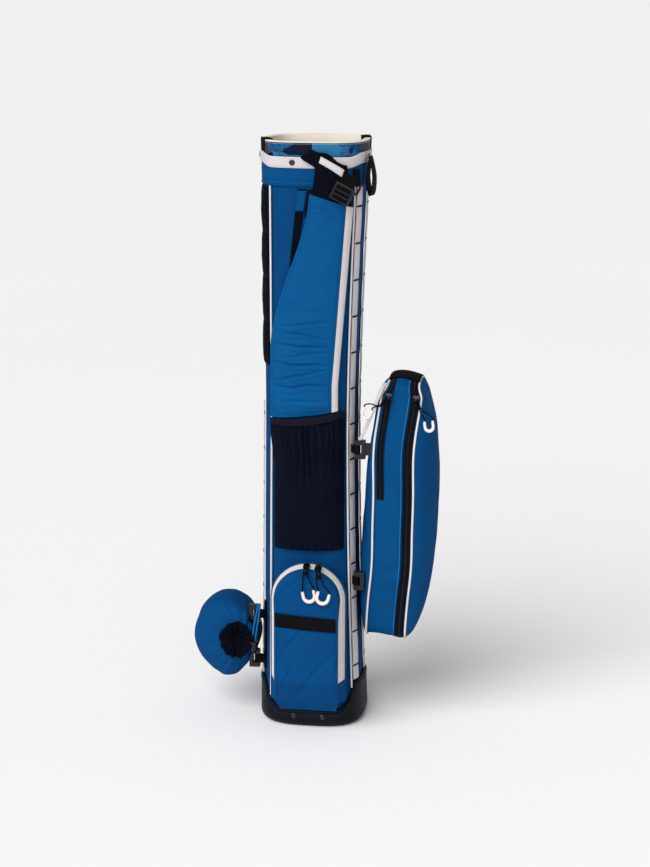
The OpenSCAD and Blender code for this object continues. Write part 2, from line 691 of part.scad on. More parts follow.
// the pad's outline: left and right edges at f, 0 at the top and 1 at the bottom
function pad_left(f) = mix(pad_x0_top, pad_x0_low, ease(1.35 * f + 0.04));
function pad_wide(f) = mix(pad_x0_top + pad_top_w, pad_x0_low + pad_low_w, min(1, 1.15 * f)) - pad_left(f);
function pad_slope(f) = 20 * (1 - f) - mesh_rise * f;
function pad_pt(f, u, off) = let (x = pad_left(f) + u * pad_wide(f),
    low = mesh_top_at(x) + pad_low_gap, z = mix(pad_z1 - 20 * u + 10, low, f))
    [x, front_y(x, z, strap_lift + cuff_step(z) + off), z];
function pad_u(f) = 1 - edge_w / pad_wide(f);   // where the white edge starts
module strap_pad() {
    fs = reversed(steps(0, 1, 16));
    us = steps(0, 1, 10);
    color("steelblue") sheet(
        [for (f = fs) [for (u = us) pad_pt(f, u * pad_u(f), 0)]],
        [for (f = fs) [for (u = us) pad_pt(f, u * pad_u(f), 2.5 +
            (pad_t - 2.5) * pow(sin(180 * (0.06 + 0.88 * u)), 0.5))]]);
}
module strap_edge() {
    fs = reversed(steps(0, 1, 16));
    color("gainsboro") sheet(
        [for (f = fs) [for (u = [0, 0.5, 1]) pad_pt(f, mix(pad_u(f) + 0.004, 1, u), 0)]],
        [for (f = fs) [for (u = [0, 0.5, 1]) pad_pt(f, mix(pad_u(f) + 0.004, 1, u), [4.2, 4, 2.5][u * 2])]]);
}
neck_z1 = trim_z1 + 1;
function neck_left(f) = mix(-12, 9, ease(3 * f)) - 3.5 * ease((f - 0.3) / 0.7);
function neck_right(f) = mix(54, 60, f);
function neck_pt(f, u, off) = let (
    x = mix(neck_left(f), neck_right(f), u),
    z = mix(neck_z1 - 2 * u, pad_z1 + 11.5 - 20 * u, f))
    [x, front_y(x, z, strap_lift + trim_out * 0.2 + cuff_step(z) * 0.8 + off), z];
module strap_neck() {
    fs = reversed(steps(0, 1, 8));
    us = steps(0, 1, 8);
    color("midnightblue") sheet([for (f = fs) [for (u = us) neck_pt(f, u, 0)]],
                                [for (f = fs) [for (u = us) neck_pt(f, u, 3.5)]]);
}
module strap_neck_band() {
    function at(s, w, off) = let (f = mix(0.03, 0.32, s) + w * 0.17, x = mix(18, 51, s) - 3 * w)
        neck_pt(f, (x - neck_left(f)) / (neck_right(f) - neck_left(f)), off);
    color("gainsboro") sheet([for (w = [1, 0]) [for (s = steps(0, 1, 6)) at(s, w, 3.8)]],
                             [for (w = [1, 0]) [for (s = steps(0, 1, 6)) at(s, w, 5.2)]]);
}
// ladder lock over the neck's lower right corner
buckle_at = [48, cuff_z - 8];
buckle_tilt = 27;
buckle_y = front_y(40, buckle_at[1], strap_lift + trim_out + 4.6);
module buckle_frame() {
    translate([buckle_at[0], buckle_y, buckle_at[1]]) rotate([0, buckle_tilt, 4]) rotate([90, 0, 0])
        children();
}
module strap_buckle() {
    color("black") buckle_frame() difference() {
        translate([-15, -13, 0]) cube([30, 26, 4.5]);
        for (y = [-9.4, -2.6, 4.2]) translate([-11.5, y, -1]) cube([23, 5.2, 8]);
    }
}
module strap_webbing() {
    color("black") buckle_frame() {
        translate([-11, 13.3, 0.4]) cube([22, 16, 1.6]);
        translate([-11, -12.6, 4.8]) cube([22, 24, 1.5]);
    }
}

// ---- side pocket ----
side_at = [tube_w / 2 + 27, 0, 345];
side_tilt = 3.3;
side_x0 = -8;
inner_crown = 17;           // crown of the panel that faces the bag
side_x1 = side_x0 + side_gusset;
cap_s = side_h2 - 24;       // where the long curves end and the rounded ends start
cap_y = side_d2 - zip_curve_r + sqrt(zip_curve_r * zip_curve_r - cap_s * cap_s);
function arc_y(s) = side_d2 - zip_curve_r + sqrt(zip_curve_r * zip_curve_r - s * s);
// the pocket's outline seen from the side, as [y, s] with an even count
function side_outline() = let (run = steps(-cap_s, cap_s, 14), cap =
    [for (a = [15:15:165]) [-cap_y * cos(a), cap_s + 24 * sin(a)]])
    concat([for (s = run) [-arc_y(s), s]], cap, [for (s = reversed(run)) [arc_y(s), s]],
        [for (c = cap) [-c[0], -c[1]]]);
outline = reversed(side_outline());
function outline_ring(x, scale, inset) = [for (p = outline)
    let (k = inset / norm(p)) [x, p[0] * scale * (1 - inset / side_d2),
        p[1] * scale * (1 - inset / side_h2)]];
module side_frame() { translate(side_at) rotate([0, side_tilt, 0]) children(); }
module side_gusset_band() {
    color("steelblue") side_frame() skin([
        outline_ring(side_x0, 1, wall), outline_ring(side_x0, 1, 0),
            outline_ring(mix(side_x0, side_x1, 0.5), 1, -1),
        outline_ring(side_x1, 1, 0), outline_ring(side_x1, 1, wall),
            outline_ring(mix(side_x0, side_x1, 0.5), 1, wall - 1)], loop = true);
}
dome_scales = [1, 0.97, 0.9, 0.78, 0.6, 0.35, 0.1];
// a crowned panel: from x outward by crown, d is 1 or -1
module side_dome(x, crown, d) {
    outer = [for (k = dome_scales) outline_ring(x + d * (1.6 + crown * pow(1 - k * k, 0.62)), k, 0)];
    inner = [for (k = reversed(dome_scales)) outline_ring(x +
        d * (crown * pow(1 - k * k, 0.62) - (k < 1 ? 0.4 : 0)), k, 0.8)];
    rings = concat(inner, outer);
    skin(d > 0 ? rings : reversed(rings));
}
// everything right of the inner panel, with a clearance
module side_keep_out() {
    x = side_x0 - 0.3;
    skin(concat(
        [for (k = reversed(dome_scales)) outline_ring(x - 1.6 - inner_crown * pow(1 - k * k, 0.62) - gap, k,
            -gap - 3.6 * ease(k))],
        [outline_ring(side_x1, 1, -gap - 3.6)]));
}
module side_outer_panel() { color("steelblue") side_frame() side_dome(side_x1 + 0.3, side_crown, 1); }
module side_inner_panel() { color("steelblue") side_frame() side_dome(side_x0 - 0.3, inner_crown, -1); }
module side_piping() {
    r = 1.6;
    color("white") side_frame() for (x = [side_x0 - 0.2, side_x1 + 0.2])
        cord_loop([for (p = outline) [x, p[0] * (1 + (r + 0.6) / side_d2),
            p[1] * (1 + (r + 0.6) / side_h2)]], r, [1, 0, 0]);
}
// a point on the gusset's front face; out is away from the pocket
function zip_pt(x, s, out) = [x, -arc_y(s) - out, s];
zip_short = [-3.5, 7, 18, 178];
zip_long = [35.5, 49, -180, 178];
module zip_tape(z) {
    ss = steps(z[2], z[3], 14);
    xs = [z[0], z[1]];
    sheet([for (s = ss) [for (x = xs) zip_pt(x, s, 1.3)]], [for (s = ss) [for (x = xs) zip_pt(x, s, 2.3)]]);
    mid = (z[0] + z[1]) / 2;
    sheet([for (s = ss) [for (x = [mid - 1.8, mid + 1.8]) zip_pt(x, s, 2.5)]],
          [for (s = ss) [for (x = [mid - 1.8, mid + 1.8]) zip_pt(x, s, 3.6)]]);
}
module side_zips() {
    color("black") side_frame() {
        zip_tape(zip_short);
        zip_tape(zip_long);
    }
}
module side_top_binding() {
    top = [for (a = [35:11:145]) [-cap_y * cos(a), cap_s + 24 * sin(a)]];
    xs = [side_x0 + 2.4, side_x1 - 2.4];
    color("black") side_frame() sheet(
        [for (p = top) [for (x = xs) [x, p[0] * 1.03, p[1] + 1.8]]],
        [for (p = top) [for (x = xs) [x, p[0] * 1.03, p[1] + 3.6]]]);
}
// clips: a block on each detachable bag, whose pin runs in a webbing loop on the body
clip_at = [tube_w / 2 - 7, 21 - tube_d / 2];
clip_zs = [436, 232];
pouch_clip_at = [-tube_w / 2 - 7, 33 - tube_d / 2];
pouch_clip_zs = [168, 96];
clip_h = 28;
loop_h = 12;
loop_r = pin_r + 0.05;
module clip_loop(at, z, base) {
    d = unit([base[0] - at[0], base[1] - at[1]]);
    n = [-d[1], d[0]] * (loop_r + 1.2);
    translate([at[0], at[1], z - loop_h / 2]) difference() {
        union() {
            cylinder(h = loop_h, r = loop_r + 1.6, $fn = round_fn);
            linear_extrude(loop_h) polygon([n, -n, [base[0] - at[0], base[1] - at[1]] - n,
                [base[0] - at[0], base[1] - at[1]] + n]);
        }
        translate([0, 0, -1]) cylinder(h = loop_h + 2, r = loop_r, $fn = round_fn);
    }
}
tab_a = 208;                // where the pouch's webbing tab is on the body
module clip_loops() {
    color("black") {
        // the loops' ends stop clear of the rail and its bar tacks
        for (z = clip_zs) difference() {
            clip_loop(clip_at, z, tube_pt(a_rail_rf - 4, z, gap + rail_t + 3));
            body_core(z - loop_h, z + loop_h, gap + rail_t + 1, 96);
        }
        for (z = pouch_clip_zs) difference() {
            clip_loop(pouch_clip_at, z, tube_pt(tab_a, z, gap + 1));
            body_core(z - loop_h, z + loop_h, gap);
        }
        body_sheet(tab_a - 5, tab_a + 5, steps(pouch_clip_zs[1] - 14, pouch_clip_zs[0] + 22, 3), gap, gap +
            1.6, 3);
    }
}
module clip_pin(z) {
    translate([0, 0, z - clip_h / 2 + 1]) cylinder(h = clip_h - 2, r = pin_r, $fn = round_fn);
    for (s = [-1, 1]) translate([-4, -5, z + (s > 0 ? loop_h / 2 + 1 : -clip_h / 2)])
        cube([12, 10, clip_h / 2 - loop_h / 2 - 1]);
    translate([6, -5, z - clip_h / 2]) cube([6, 10, clip_h]);
}
// the clips' blocks are shaped to the pocket's inner panel
module side_clips() {
    color("black") difference() {
        translate([clip_at[0], clip_at[1], 0]) for (z = clip_zs) {
            clip_pin(z);
            translate([12, -1, z - 9]) cube([10, 6, 18]);
        }
        side_frame() side_keep_out();
    }
}
zip_centre_y = zip_curve_r - side_d2;   // the long curves' centre is this far behind the pocket
slider_s = 172;
mid_short = (zip_short[0] + zip_short[1]) / 2;
mid_long = (zip_long[0] + zip_long[1]) / 2;
// a frame on the gusset at x and s along the curve: X across, -Y off the gusset, Z along the zip
module zip_frame(x, s) {
    side_frame() translate([x, zip_centre_y, 0]) rotate([-asin(s / zip_curve_r), 0, 0])
        translate([0, -zip_curve_r - 2.7, 0]) children();
}
module side_slider(x) { color("dimgray") zip_frame(x, slider_s) rotate([0, -90, 0]) rotate([90, 0, 0])
    slider(); }
// the pull hangs to one side of its zip, over the pocket's edge
pull_short = [-27, -10, -20];
pull_long = [22, -10, -30];
function side_path(end, a, k) = let (p = arm_end(end, a, k)) [
    [k * 2.75, 0, 0], [k * 3.9, -2, -2], [k * 2.6 + end[0] * 0.14, -5, -6],
        [k * 1.6 + end[0] * 0.4, end[1], -14],
    [mix(k * 2, p[0], 0.7), end[1], mix(0, p[2], 0.66)], [p[0], end[1], p[2] + 4],
        [p[0], end[1], p[2] - 1.2]];
module side_pull(x, end, lean_a) {
    zip_frame(x, slider_s) translate([0, -eye_up, 0]) {
        color("black") {
            rotate([0, 0, 90]) eye_pin();
            for (k = [-1, 1]) cord(side_path(end, lean_a, k), 0.9, [0, 1, 0], 6);
        }
        translate(end) rotate([0, lean_a, 0]) grip();
    }
}
module side_slider_short() { side_slider(mid_short); }
module side_slider_long() { side_slider(mid_long); }
module side_pull_short() { side_pull(mid_short, pull_short, 20); }
module side_pull_long() { side_pull(mid_long, pull_long, -12); }

// ---- ball pouch ----
pouch_at = [-tube_w / 2 - 60, 0, 118];
pouch_neck = [22, 8];       // where the neck is, from the pouch's middle, in X and Z
pouch_top = 67;
// egg-shaped outline, broad above and narrow below
function egg(a) = let (c = cos(a), s = sin(a)) [pouch_w2 * c * (s < 0 ? 1 - 0.3 * pow(-s, 1.5) : 1),
    (s < 0 ? pouch_top - 2 : pouch_top) * s];
pouch_rings = [[0.30, 0.5, 0], [0.62, 0.46, 0], [0.86, 0.37, 0], [0.97, 0.22, 0], [1, 0, 0],
    [0.97, -0.2, 0.1],
               [0.86, -0.34, 0.35], [0.66, -0.43, 0.7], [0.42, -0.48, 0.95]];
function pouch_ring(k, inset) = [for (a = [0:12:348]) let (e = egg(a), f = max(0.05, k[0] - inset / pouch_w2))
    [e[0] * f + pouch_neck[0] * k[2], k[1] * (pouch_len - inset), e[1] * f + pouch_neck[1] * k[2]]];
neck_y = -0.48 * pouch_len - 0.4;
mouth_r = 7;
module pouch() {
    color("steelblue") translate(pouch_at) difference() {
        skin([for (k = pouch_rings) pouch_ring(k, 0)]);
        skin([for (k = pouch_rings) pouch_ring(k, 2)]);
        translate([pouch_neck[0], neck_y + 20, pouch_neck[1]]) rotate([90, 0, 0])
            cylinder(h = 40, r = mouth_r, $fn = round_fn);
    }
}
// gathered collar, drawn shut round its cord
collar_h2 = 12;
collar_r2 = neck_r + 8;
module pouch_collar() {
    color("midnightblue") translate(pouch_at + [pouch_neck[0], neck_y - 0.2, pouch_neck[1]])
        rotate([90, 0, 0]) difference() {
        union() {
            cylinder(h = 5, r = neck_r, $fn = round_fn);
            translate([0, 0, 5]) cylinder(h = collar_h2 - 5, r1 = neck_r, r2 = collar_r2, $fn = round_fn);
        }
        translate([0, 0, -1]) cylinder(h = 6, r = mouth_r, $fn = round_fn);
        translate([0, 0, 4.9]) cylinder(h = collar_h2 - 4.8, r1 = mouth_r, r2 = collar_r2 - 1.6, $fn =
            round_fn);
    }
}
// a ring of cord round the neck, and the lock that grips its two ends
cord_r = 1.3;
lock_r = 6;
lock_h = 14;
lock_at = [pouch_clip_at[0] - 2, pouch_at[1] + neck_y - 7, pouch_at[2] + 4];
button_r = 3.6;
button_travel = 3;
module pouch_cord() {
    color("dodgerblue") {
        translate(pouch_at + [pouch_neck[0], neck_y - 2.7, pouch_neck[1]]) rotate([90, 0, 0])
            rotate_extrude($fn = 60)
            translate([neck_r + cord_r + 0.3, 0]) circle(cord_r, $fn = 16);
        for (k = [0, 1]) cord([lock_at + [-1.8 + 3.6 * k, 0, lock_h / 2 + 0.6], lock_at +
            [-1.2 + 5 * k, -1, 22],
            lock_at + [2 + 4.5 * k, 0, 42], lock_at + [6.5 + 3 * k, 3, 66]], cord_r, [0, 1, 0], 8);
    }
}
module pouch_clips() {
    color("black") {
        difference() {
            translate([pouch_clip_at[0], pouch_clip_at[1], 0]) mirror([1, 0, 0]) for (z = pouch_clip_zs)
                clip_pin(z);
            translate(pouch_at) skin([for (k = pouch_rings) pouch_ring(k, -gap)]);
        }
        translate(lock_at) difference() {
            translate([0, 0, -lock_h / 2]) cylinder(h = lock_h, r = lock_r, $fn = round_fn);
            translate([0, 0, -lock_h / 2 - 1]) cylinder(h = lock_h - 4, r = button_r + 0.05, $fn = round_fn);
        }
    }
}
module pouch_lock_button() {
    color("dimgray") translate(lock_at + [0, 0, -lock_h / 2 - button_travel - 1])
        cylinder(h = 8, r = button_r, $fn = round_fn);
}

base_boot();
base_collar();
base_screws();
front_panel();
right_panel();
back_panel();
left_panel();
seam_piping();
stays();
cuff_ring();
cuff_cover();
cuff_lining();
cuff_skirt();
cuff_trim();
cuff_rivets();
rim_tabs();
cuff_loops();
divider_bar();
divider_sleeve();
divider_sheet();
side_rails();
rail_tacks();
clip_loops();
hip_pad();
strap_tail();
strap_tail_sleeve();
mesh_pocket();
mesh_elastic();
pocket_rear_gusset();
pocket_zip_gusset();
pocket_zip_teeth();
pocket_front();
pocket_webbing();
strap_pad();
strap_edge();
strap_neck();
strap_neck_band();
strap_buckle();
strap_webbing();
strap_ring();
pocket_slider_left();
pocket_pull_left();
pocket_slider_right();
pocket_pull_right();
side_gusset_band();
side_outer_panel();
side_inner_panel();
side_piping();
side_zips();
side_top_binding();
side_clips();
side_slider_short();
side_pull_short();
side_slider_long();
side_pull_long();
pouch();
pouch_collar();
pouch_cord();
pouch_clips();
pouch_lock_button();
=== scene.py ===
"""The looks of a slim carry golf bag with its side pocket and ball pouch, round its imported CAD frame."""

import math

import bmesh
import bpy
from mathutils import Matrix, Vector, noise


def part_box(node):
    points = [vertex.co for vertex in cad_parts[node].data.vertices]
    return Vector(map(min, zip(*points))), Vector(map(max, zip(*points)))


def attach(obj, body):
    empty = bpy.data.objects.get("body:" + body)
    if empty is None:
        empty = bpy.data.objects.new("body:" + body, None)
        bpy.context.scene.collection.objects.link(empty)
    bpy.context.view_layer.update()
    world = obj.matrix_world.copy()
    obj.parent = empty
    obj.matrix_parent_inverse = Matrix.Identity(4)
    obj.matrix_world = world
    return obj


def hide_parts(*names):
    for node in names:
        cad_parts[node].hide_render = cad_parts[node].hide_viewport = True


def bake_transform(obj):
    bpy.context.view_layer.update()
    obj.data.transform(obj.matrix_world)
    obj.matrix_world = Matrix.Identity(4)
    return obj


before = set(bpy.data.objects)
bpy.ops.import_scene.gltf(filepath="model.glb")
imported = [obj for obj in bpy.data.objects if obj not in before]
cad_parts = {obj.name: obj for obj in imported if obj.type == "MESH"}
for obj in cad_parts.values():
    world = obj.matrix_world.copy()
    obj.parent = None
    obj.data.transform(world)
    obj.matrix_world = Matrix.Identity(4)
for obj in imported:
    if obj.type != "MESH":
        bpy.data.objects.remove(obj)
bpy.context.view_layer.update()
scene = bpy.context.scene
MM = 0.001

# ---- driving sizes in millimetres, as in the part's source ----
rim_lo, rim_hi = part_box("cuff_lining")
BAG_H = round(rim_hi.z / MM, 1)
TUBE_W = round((rim_hi.x - rim_lo.x) / MM, 1) - 2
TUBE_D = round((rim_hi.y - rim_lo.y) / MM, 1) - 2
WAIST_W_LOSS, WAIST_D_LOSS, SAG = 17, 14, 5
WAIST_Z = 0.54 * BAG_H
CUFF_Z = BAG_H - 64
TRIM_Z0, TRIM_Z1 = BAG_H - 38, BAG_H - 22
SKIRT_OFF = 0.3
TRIM_OFF, TRIM_OUT, TRIM_RISE = 2.0, 3.2, 6
SCREW_Z, CAP_Z = 18, BAG_H - 30
GAP = 0.4
PANEL_Z0, PANEL_Z1 = 7.4, CUFF_Z + 7
SEAMS = {"left": 229, "right": 321, "back_left": 140, "back_right": 40}
BOOT_SIDE_H, BOOT_FRONT_H, BOOT_T, BOOT_FLOOR = 70, 27, 3.8, 4
RAILS = {"right_front": (333, CUFF_Z - 2), "right_rear": (7, CUFF_Z - 2), "left": (196, 500)}
RAIL_DA, RAIL_T, TACK_STEP = {"right_front": 7, "right_rear": 5.5, "left": 5.5}, 1.6, 54
STRAP_LIFT, PAD_Z1, PAD_T, EDGE_W = 4.3, CUFF_Z - 20, 8, 9
MESH_TOP, MESH_LOW, MESH_BULGE, MESH_RISE, BAND_H = 482, 285, 15, 15, 11
MESH_LEFT, MESH_RIGHT = -TUBE_W * 26 / 77, TUBE_W * 51 / 154
ARCH_X, ARCH_R, ARCH_Z, ARCH_FLARE = 1, 56, 208, 8.5
FACE_R = ARCH_R - ARCH_FLARE
ZIP_Y1 = -TUBE_D / 2 - 32
ZIP_Y0 = ZIP_Y1 + 24
FLARE_A = math.atan(ARCH_FLARE / 24)
GUSSET_LOW, REAR_LOW, FACE_PUFF = 84, 48, 4
WEB_Z, WEB_H = 180, 21
SIDE_AT, SIDE_TILT = (TUBE_W / 2 + 27, 0, 345), 3.3
SIDE_H2, SIDE_D2, SIDE_X0, SIDE_X1, SIDE_CROWN, INNER_CROWN = 209, 62, -8, 51, 32, 17
ZIP_CURVE_R, CAP_S, SLIDER_S = 1070, 185, 172
ZIP_SHORT, ZIP_LONG = (-3.5, 7), (35.5, 49)
CLIP_AT, CLIP_ZS = (TUBE_W / 2 - 7, 21 - TUBE_D / 2), (436, 232)
POUCH_CLIP_AT, POUCH_CLIP_ZS = (-TUBE_W / 2 - 7, 33 - TUBE_D / 2), (168, 96)
POUCH_AT, POUCH_NECK = Vector((-TUBE_W / 2 - 60, 0, 118)), (24, 13)
POUCH_LEN, POUCH_W2, POUCH_TOP, NECK_R = 108, 53, 67, 17
NECK_Y = -0.48 * POUCH_LEN - 0.4
LOCK_AT = Vector((POUCH_CLIP_AT[0] - 2, POUCH_AT.y + NECK_Y - 7, POUCH_AT.z + 4))
LOCK_H, CORD_R = 14, 1.3


# ---- shapes of the part, in millimetres ----
def sind(a):
    return math.sin(math.radians(a))


def cosd(a):
    return math.cos(math.radians(a))


def turned(degrees, axis):
    return Matrix.Rotation(math.radians(degrees), 4, axis)


def mix(a, b, t):
    return a + (b - a) * t


def clamp(v):
    return max(0.0, min(1.0, v))


def ease(v):
    c = clamp(v)
    return c * c * (3 - 2 * c)


def curve(v):
    """Turns a circle's sine or cosine into that of the body's squarish outline."""
    return math.copysign(abs(v) ** (2 / 3), v)


def loss(z):
    """0 at the waist and 1 at the foot and the rim."""
    far = (z - WAIST_Z) / (BAG_H - WAIST_Z) if z > WAIST_Z else (WAIST_Z - z) / WAIST_Z
    return far**1.5


def half_w(z):
    return (TUBE_W - WAIST_W_LOSS * (1 - loss(z))) / 2


def half_d(z):
    return (TUBE_D - WAIST_D_LOSS * (1 - loss(z))) / 2


def lean(z):
    return -SAG * sind(180 * clamp(z / BAG_H))


def tube_pt(a, z, off):
    """A point on the body's outline at angle a and height z, moved out by off."""
    return Vector((lean(z) + (half_w(z) + off) * curve(cosd(a)), (half_d(z) + off) * curve(sind(a)), z))


def front_y(x, z, off):
    """The front face's Y at x and z, moved out by off."""
    u = min(0.995, abs(x - lean(z)) / (half_w(z) + off))
    return -(half_d(z) + off) * (1 - u**3) ** (1 / 3)


def wob(x, y, z=0.0):
    """Smooth noise from -1 to 1, the same on each run."""
    return noise.noise(Vector((x, y, z)))


def steps(a, b, n):
    return [a + (b - a) * i / n for i in range(n + 1)]


def smooth_path(points, n):
    """n + 1 points on a smooth curve through the given ones."""
    p = [Vector(q) for q in points]
    p = [p[0] * 2 - p[1], *p, p[-1] * 2 - p[-2]]
    out = []
    spans = len(p) - 3
    for i in range(n + 1):
        t = i / n * spans
        k = min(int(t), spans - 1)
        f = t - k
        a, b, c, d = p[k : k + 4]
        out.append(
            0.5 * (2 * b + (c - a) * f + (2 * a - 5 * b + 4 * c - d) * f**2 + (3 * b - a - 3 * c + d) * f**3)
        )
    return out


def at_length(path, step, start=0.0):
    """Points every step along a path, as (point, direction)."""
    found, run, want = [], 0.0, start
    for a, b in zip(path, path[1:]):
        d = (b - a).length
        while d > 0 and run + d >= want:
            found.append((a.lerp(b, (want - run) / d), (b - a).normalized()))
            want += step
        run += d
    return found


# ---- meshes ----
def build(name, verts, faces, mat, uvs=None, sharp=50):
    """A mesh object from points in millimetres; uvs holds one list of UVs in metres for each face."""
    mesh = bpy.data.meshes.new(name)
    mesh.from_pydata([Vector(v) * MM for v in verts], [], faces)
    mesh.polygons.foreach_set("use_smooth", [True] * len(mesh.polygons))
    mesh.set_sharp_from_angle(angle=math.radians(sharp))
    if uvs:
        layer = mesh.uv_layers.new(name="UVMap")
        flat = [c for face in uvs for uv in face for c in (uv[0] * MM, uv[1] * MM)]
        layer.data.foreach_set("uv", flat)
    mesh.materials.append(mat)
    obj = bpy.data.objects.new(name, mesh)
    scene.collection.objects.link(obj)
    return obj


def runs(points):
    out = [0.0]
    for a, b in zip(points, points[1:]):
        out.append(out[-1] + (Vector(b) - Vector(a)).length)
    return out


def surface(name, rows, mat, wrap=False, loop=False, poles=(None, None), sharp=50):
    """A surface through rows of points, left to right and bottom to top as seen from outside.
    wrap closes each row, loop closes the rows on each other, and a pole closes an end with a fan."""
    n, m = len(rows[0]), len(rows)
    middle = rows[m // 2] + ([rows[m // 2][0]] if wrap else [])
    us = runs(middle)
    column = [r[0] for r in rows] + ([rows[0][0]] if loop else [])
    vs = runs(column)
    verts = [p for r in rows for p in r]
    faces, uvs = [], []
    for j in range(m if loop else m - 1):
        for i in range(n if wrap else n - 1):
            a, b = j * n + i, j * n + (i + 1) % n
            c, d = ((j + 1) % m) * n + (i + 1) % n, ((j + 1) % m) * n + i
            faces.append((a, b, c, d))
            uvs.append([(us[i], vs[j]), (us[i + 1], vs[j]), (us[i + 1], vs[j + 1]), (us[i], vs[j + 1])])
    for end, pole in enumerate(poles):
        if pole is None:
            continue
        k = 0 if end == 0 else (m - 1) * n
        verts.append(pole)
        for i in range(n):
            pair = (k + (i + 1) % n, k + i) if end == 0 else (k + i, k + (i + 1) % n)
            faces.append((*pair, len(verts) - 1))
            v = vs[0] if end == 0 else vs[-1]
            uvs.append([(us[i], v), (us[min(i + 1, len(us) - 1)], v), (us[i], v + 1)])
    return build(name, verts, faces, mat, uvs, sharp)


def grid(name, f, nu, nv, mat, **kind):
    """A surface from a function of u and v, each from 0 to 1."""
    wrap, loop = kind.get("wrap"), kind.get("loop")
    rows = [[Vector(f(i / nu, j / nv)) for i in range(nu + (0 if wrap else 1))]
            for j in range(nv + (0 if loop else 1))]
    return surface(name, rows, mat, **kind)


def apply(obj):
    """Turns an object's modifiers into its mesh."""
    made = bpy.data.meshes.new_from_object(obj.evaluated_get(bpy.context.evaluated_depsgraph_get()))
    obj.modifiers.clear()
    obj.data = made
    return obj


def thicken(obj, t):
    """Gives a surface a thickness of t millimetres, inwards."""
    m = obj.modifiers.new("thickness", "SOLIDIFY")
    m.thickness, m.offset = t * MM, -1
    return apply(obj)


def slab(name, f, nu, nv, mat, t=1.2, **kind):
    return thicken(grid(name, f, nu, nv, mat, **kind), t)


def parts_of(obj, first=0):
    """An object's points in millimetres, its faces numbered from first, and its UVs."""
    mesh = obj.data
    layer = mesh.uv_layers[0].data
    faces = [tuple(first + v for v in p.vertices) for p in mesh.polygons]
    uvs = [[tuple(layer[k].uv / MM) for k in p.loop_indices] for p in mesh.polygons]
    return [v.co / MM for v in mesh.vertices], faces, uvs


def pillow(name, outer, inner, nu, nv, mat, sharp=60):
    """A closed solid between an outer and an inner surface, each a function of u and v."""
    rows = []
    for j in range(nv + 1):
        row = [Vector(outer(i / nu, j / nv)) for i in range(nu + 1)]
        rows.append(row + [Vector(inner(i / nu, j / nv)) for i in range(nu, -1, -1)])
    n = 2 * (nu + 1)
    last = nv * n
    ends = []
    for i in range(nu):
        ends.append((i, n - 1 - i, n - 2 - i, i + 1))
        ends.append((last + i, last + i + 1, last + n - 2 - i, last + n - 1 - i))
    obj = surface(name, rows, mat, wrap=True, sharp=sharp)
    verts, faces, uvs = parts_of(obj)
    bpy.data.objects.remove(obj)
    uvs += [[(0, 0), (1, 0), (1, 1), (0, 1)]] * len(ends)
    return build(name, verts, faces + ends, mat, uvs, sharp)


def tube(name, path, r, mat, sides=10, closed=False, flat=1.0, ref=None):
    """A tube along a path: r is a number or a function of the length's share; flat narrows it along ref."""
    path = [Vector(p) for p in path]
    n = len(path)
    rows = []
    ref = Vector(ref) if ref else Vector((0.31, 0.87, 0.38))
    u = None
    for i in range(n):
        ahead = path[(i + 1) % n] if closed else path[min(i + 1, n - 1)]
        behind = path[i - 1] if closed or i > 0 else path[0]
        t = (ahead - behind).normalized()
        if u is None or flat != 1.0:
            u = t.cross(ref).normalized()
        else:
            u = (u - t * u.dot(t)).normalized()
        v = t.cross(u)
        k = r(i / (n - 1)) if callable(r) else r
        spots = [360 * s / sides for s in range(sides)]
        rows.append([path[i] + k * (cosd(a) * u + flat * sind(a) * v) for a in spots])
    poles = (None, None) if closed else (path[0], path[-1])
    return surface(name, rows, mat, wrap=True, loop=closed, poles=poles, sharp=70)


def joined(name, objs):
    """One object from several that are solid already."""
    verts, faces, uvs = [], [], []
    for o in objs:
        found = parts_of(o, len(verts))
        verts, faces, uvs = verts + found[0], faces + found[1], uvs + found[2]
    mat = objs[0].data.materials[0]
    for o in objs:
        bpy.data.objects.remove(o)
    return build(name, verts, faces, mat, uvs)


def stitches(name, paths, mat, pitch=4.0, r=0.38, share=0.62):
    """A row of thread stitches along each path, as small rounded bars."""
    verts, faces, uvs = [], [], []
    sides = 5
    for path in paths:
        for p, t in at_length([Vector(q) for q in path], pitch, pitch * 0.3):
            u = t.cross(Vector((0.3, 0.5, 0.81))).normalized()
            v = t.cross(u)
            k = len(verts)
            long = pitch * share
            verts.append(p)
            for f in (0.12, 0.5, 0.88):
                w = r if f == 0.5 else r * 0.8
                for s in range(sides):
                    verts.append(p + t * long * f + w * (cosd(72 * s) * u + sind(72 * s) * v))
            verts.append(p + t * long)
            for s in range(sides):
                q = (s + 1) % sides
                faces.append((k, k + 1 + q, k + 1 + s))
                for ring in (1, 1 + sides):
                    faces.append((k + ring + s, k + ring + q, k + ring + sides + q, k + ring + sides + s))
                faces.append((k + 11 + s, k + 11 + q, k + 16))
    uvs = [[(0, 0)] * len(f) for f in faces]
    return build(name, verts, faces, mat, uvs)


def blocks(name, frames, size, mat):
    """Small chamfered blocks: each frame is (point, along, across, up), and size is along, across, up."""
    verts, faces = [], []
    la, lb, lc = (s / 2 for s in size)
    for p, a, b, c in frames:
        k = len(verts)
        for h, w in ((-lc, 1.0), (lc * 0.4, 1.0), (lc, 0.55)):
            for s, q in ((-1, -1), (1, -1), (1, 1), (-1, 1)):
                verts.append(p + a * la * s * w + b * lb * q * w + c * h)
        faces.append((k + 3, k + 2, k + 1, k))
        for ring in (0, 4):
            for s in range(4):
                q = (s + 1) % 4
                faces.append((k + ring + s, k + ring + q, k + ring + 4 + q, k + ring + 4 + s))
        faces.append((k + 8, k + 9, k + 10, k + 11))
    uvs = [[(0, 0)] * len(f) for f in faces]
    return build(name, verts, faces, mat, uvs, sharp=30)


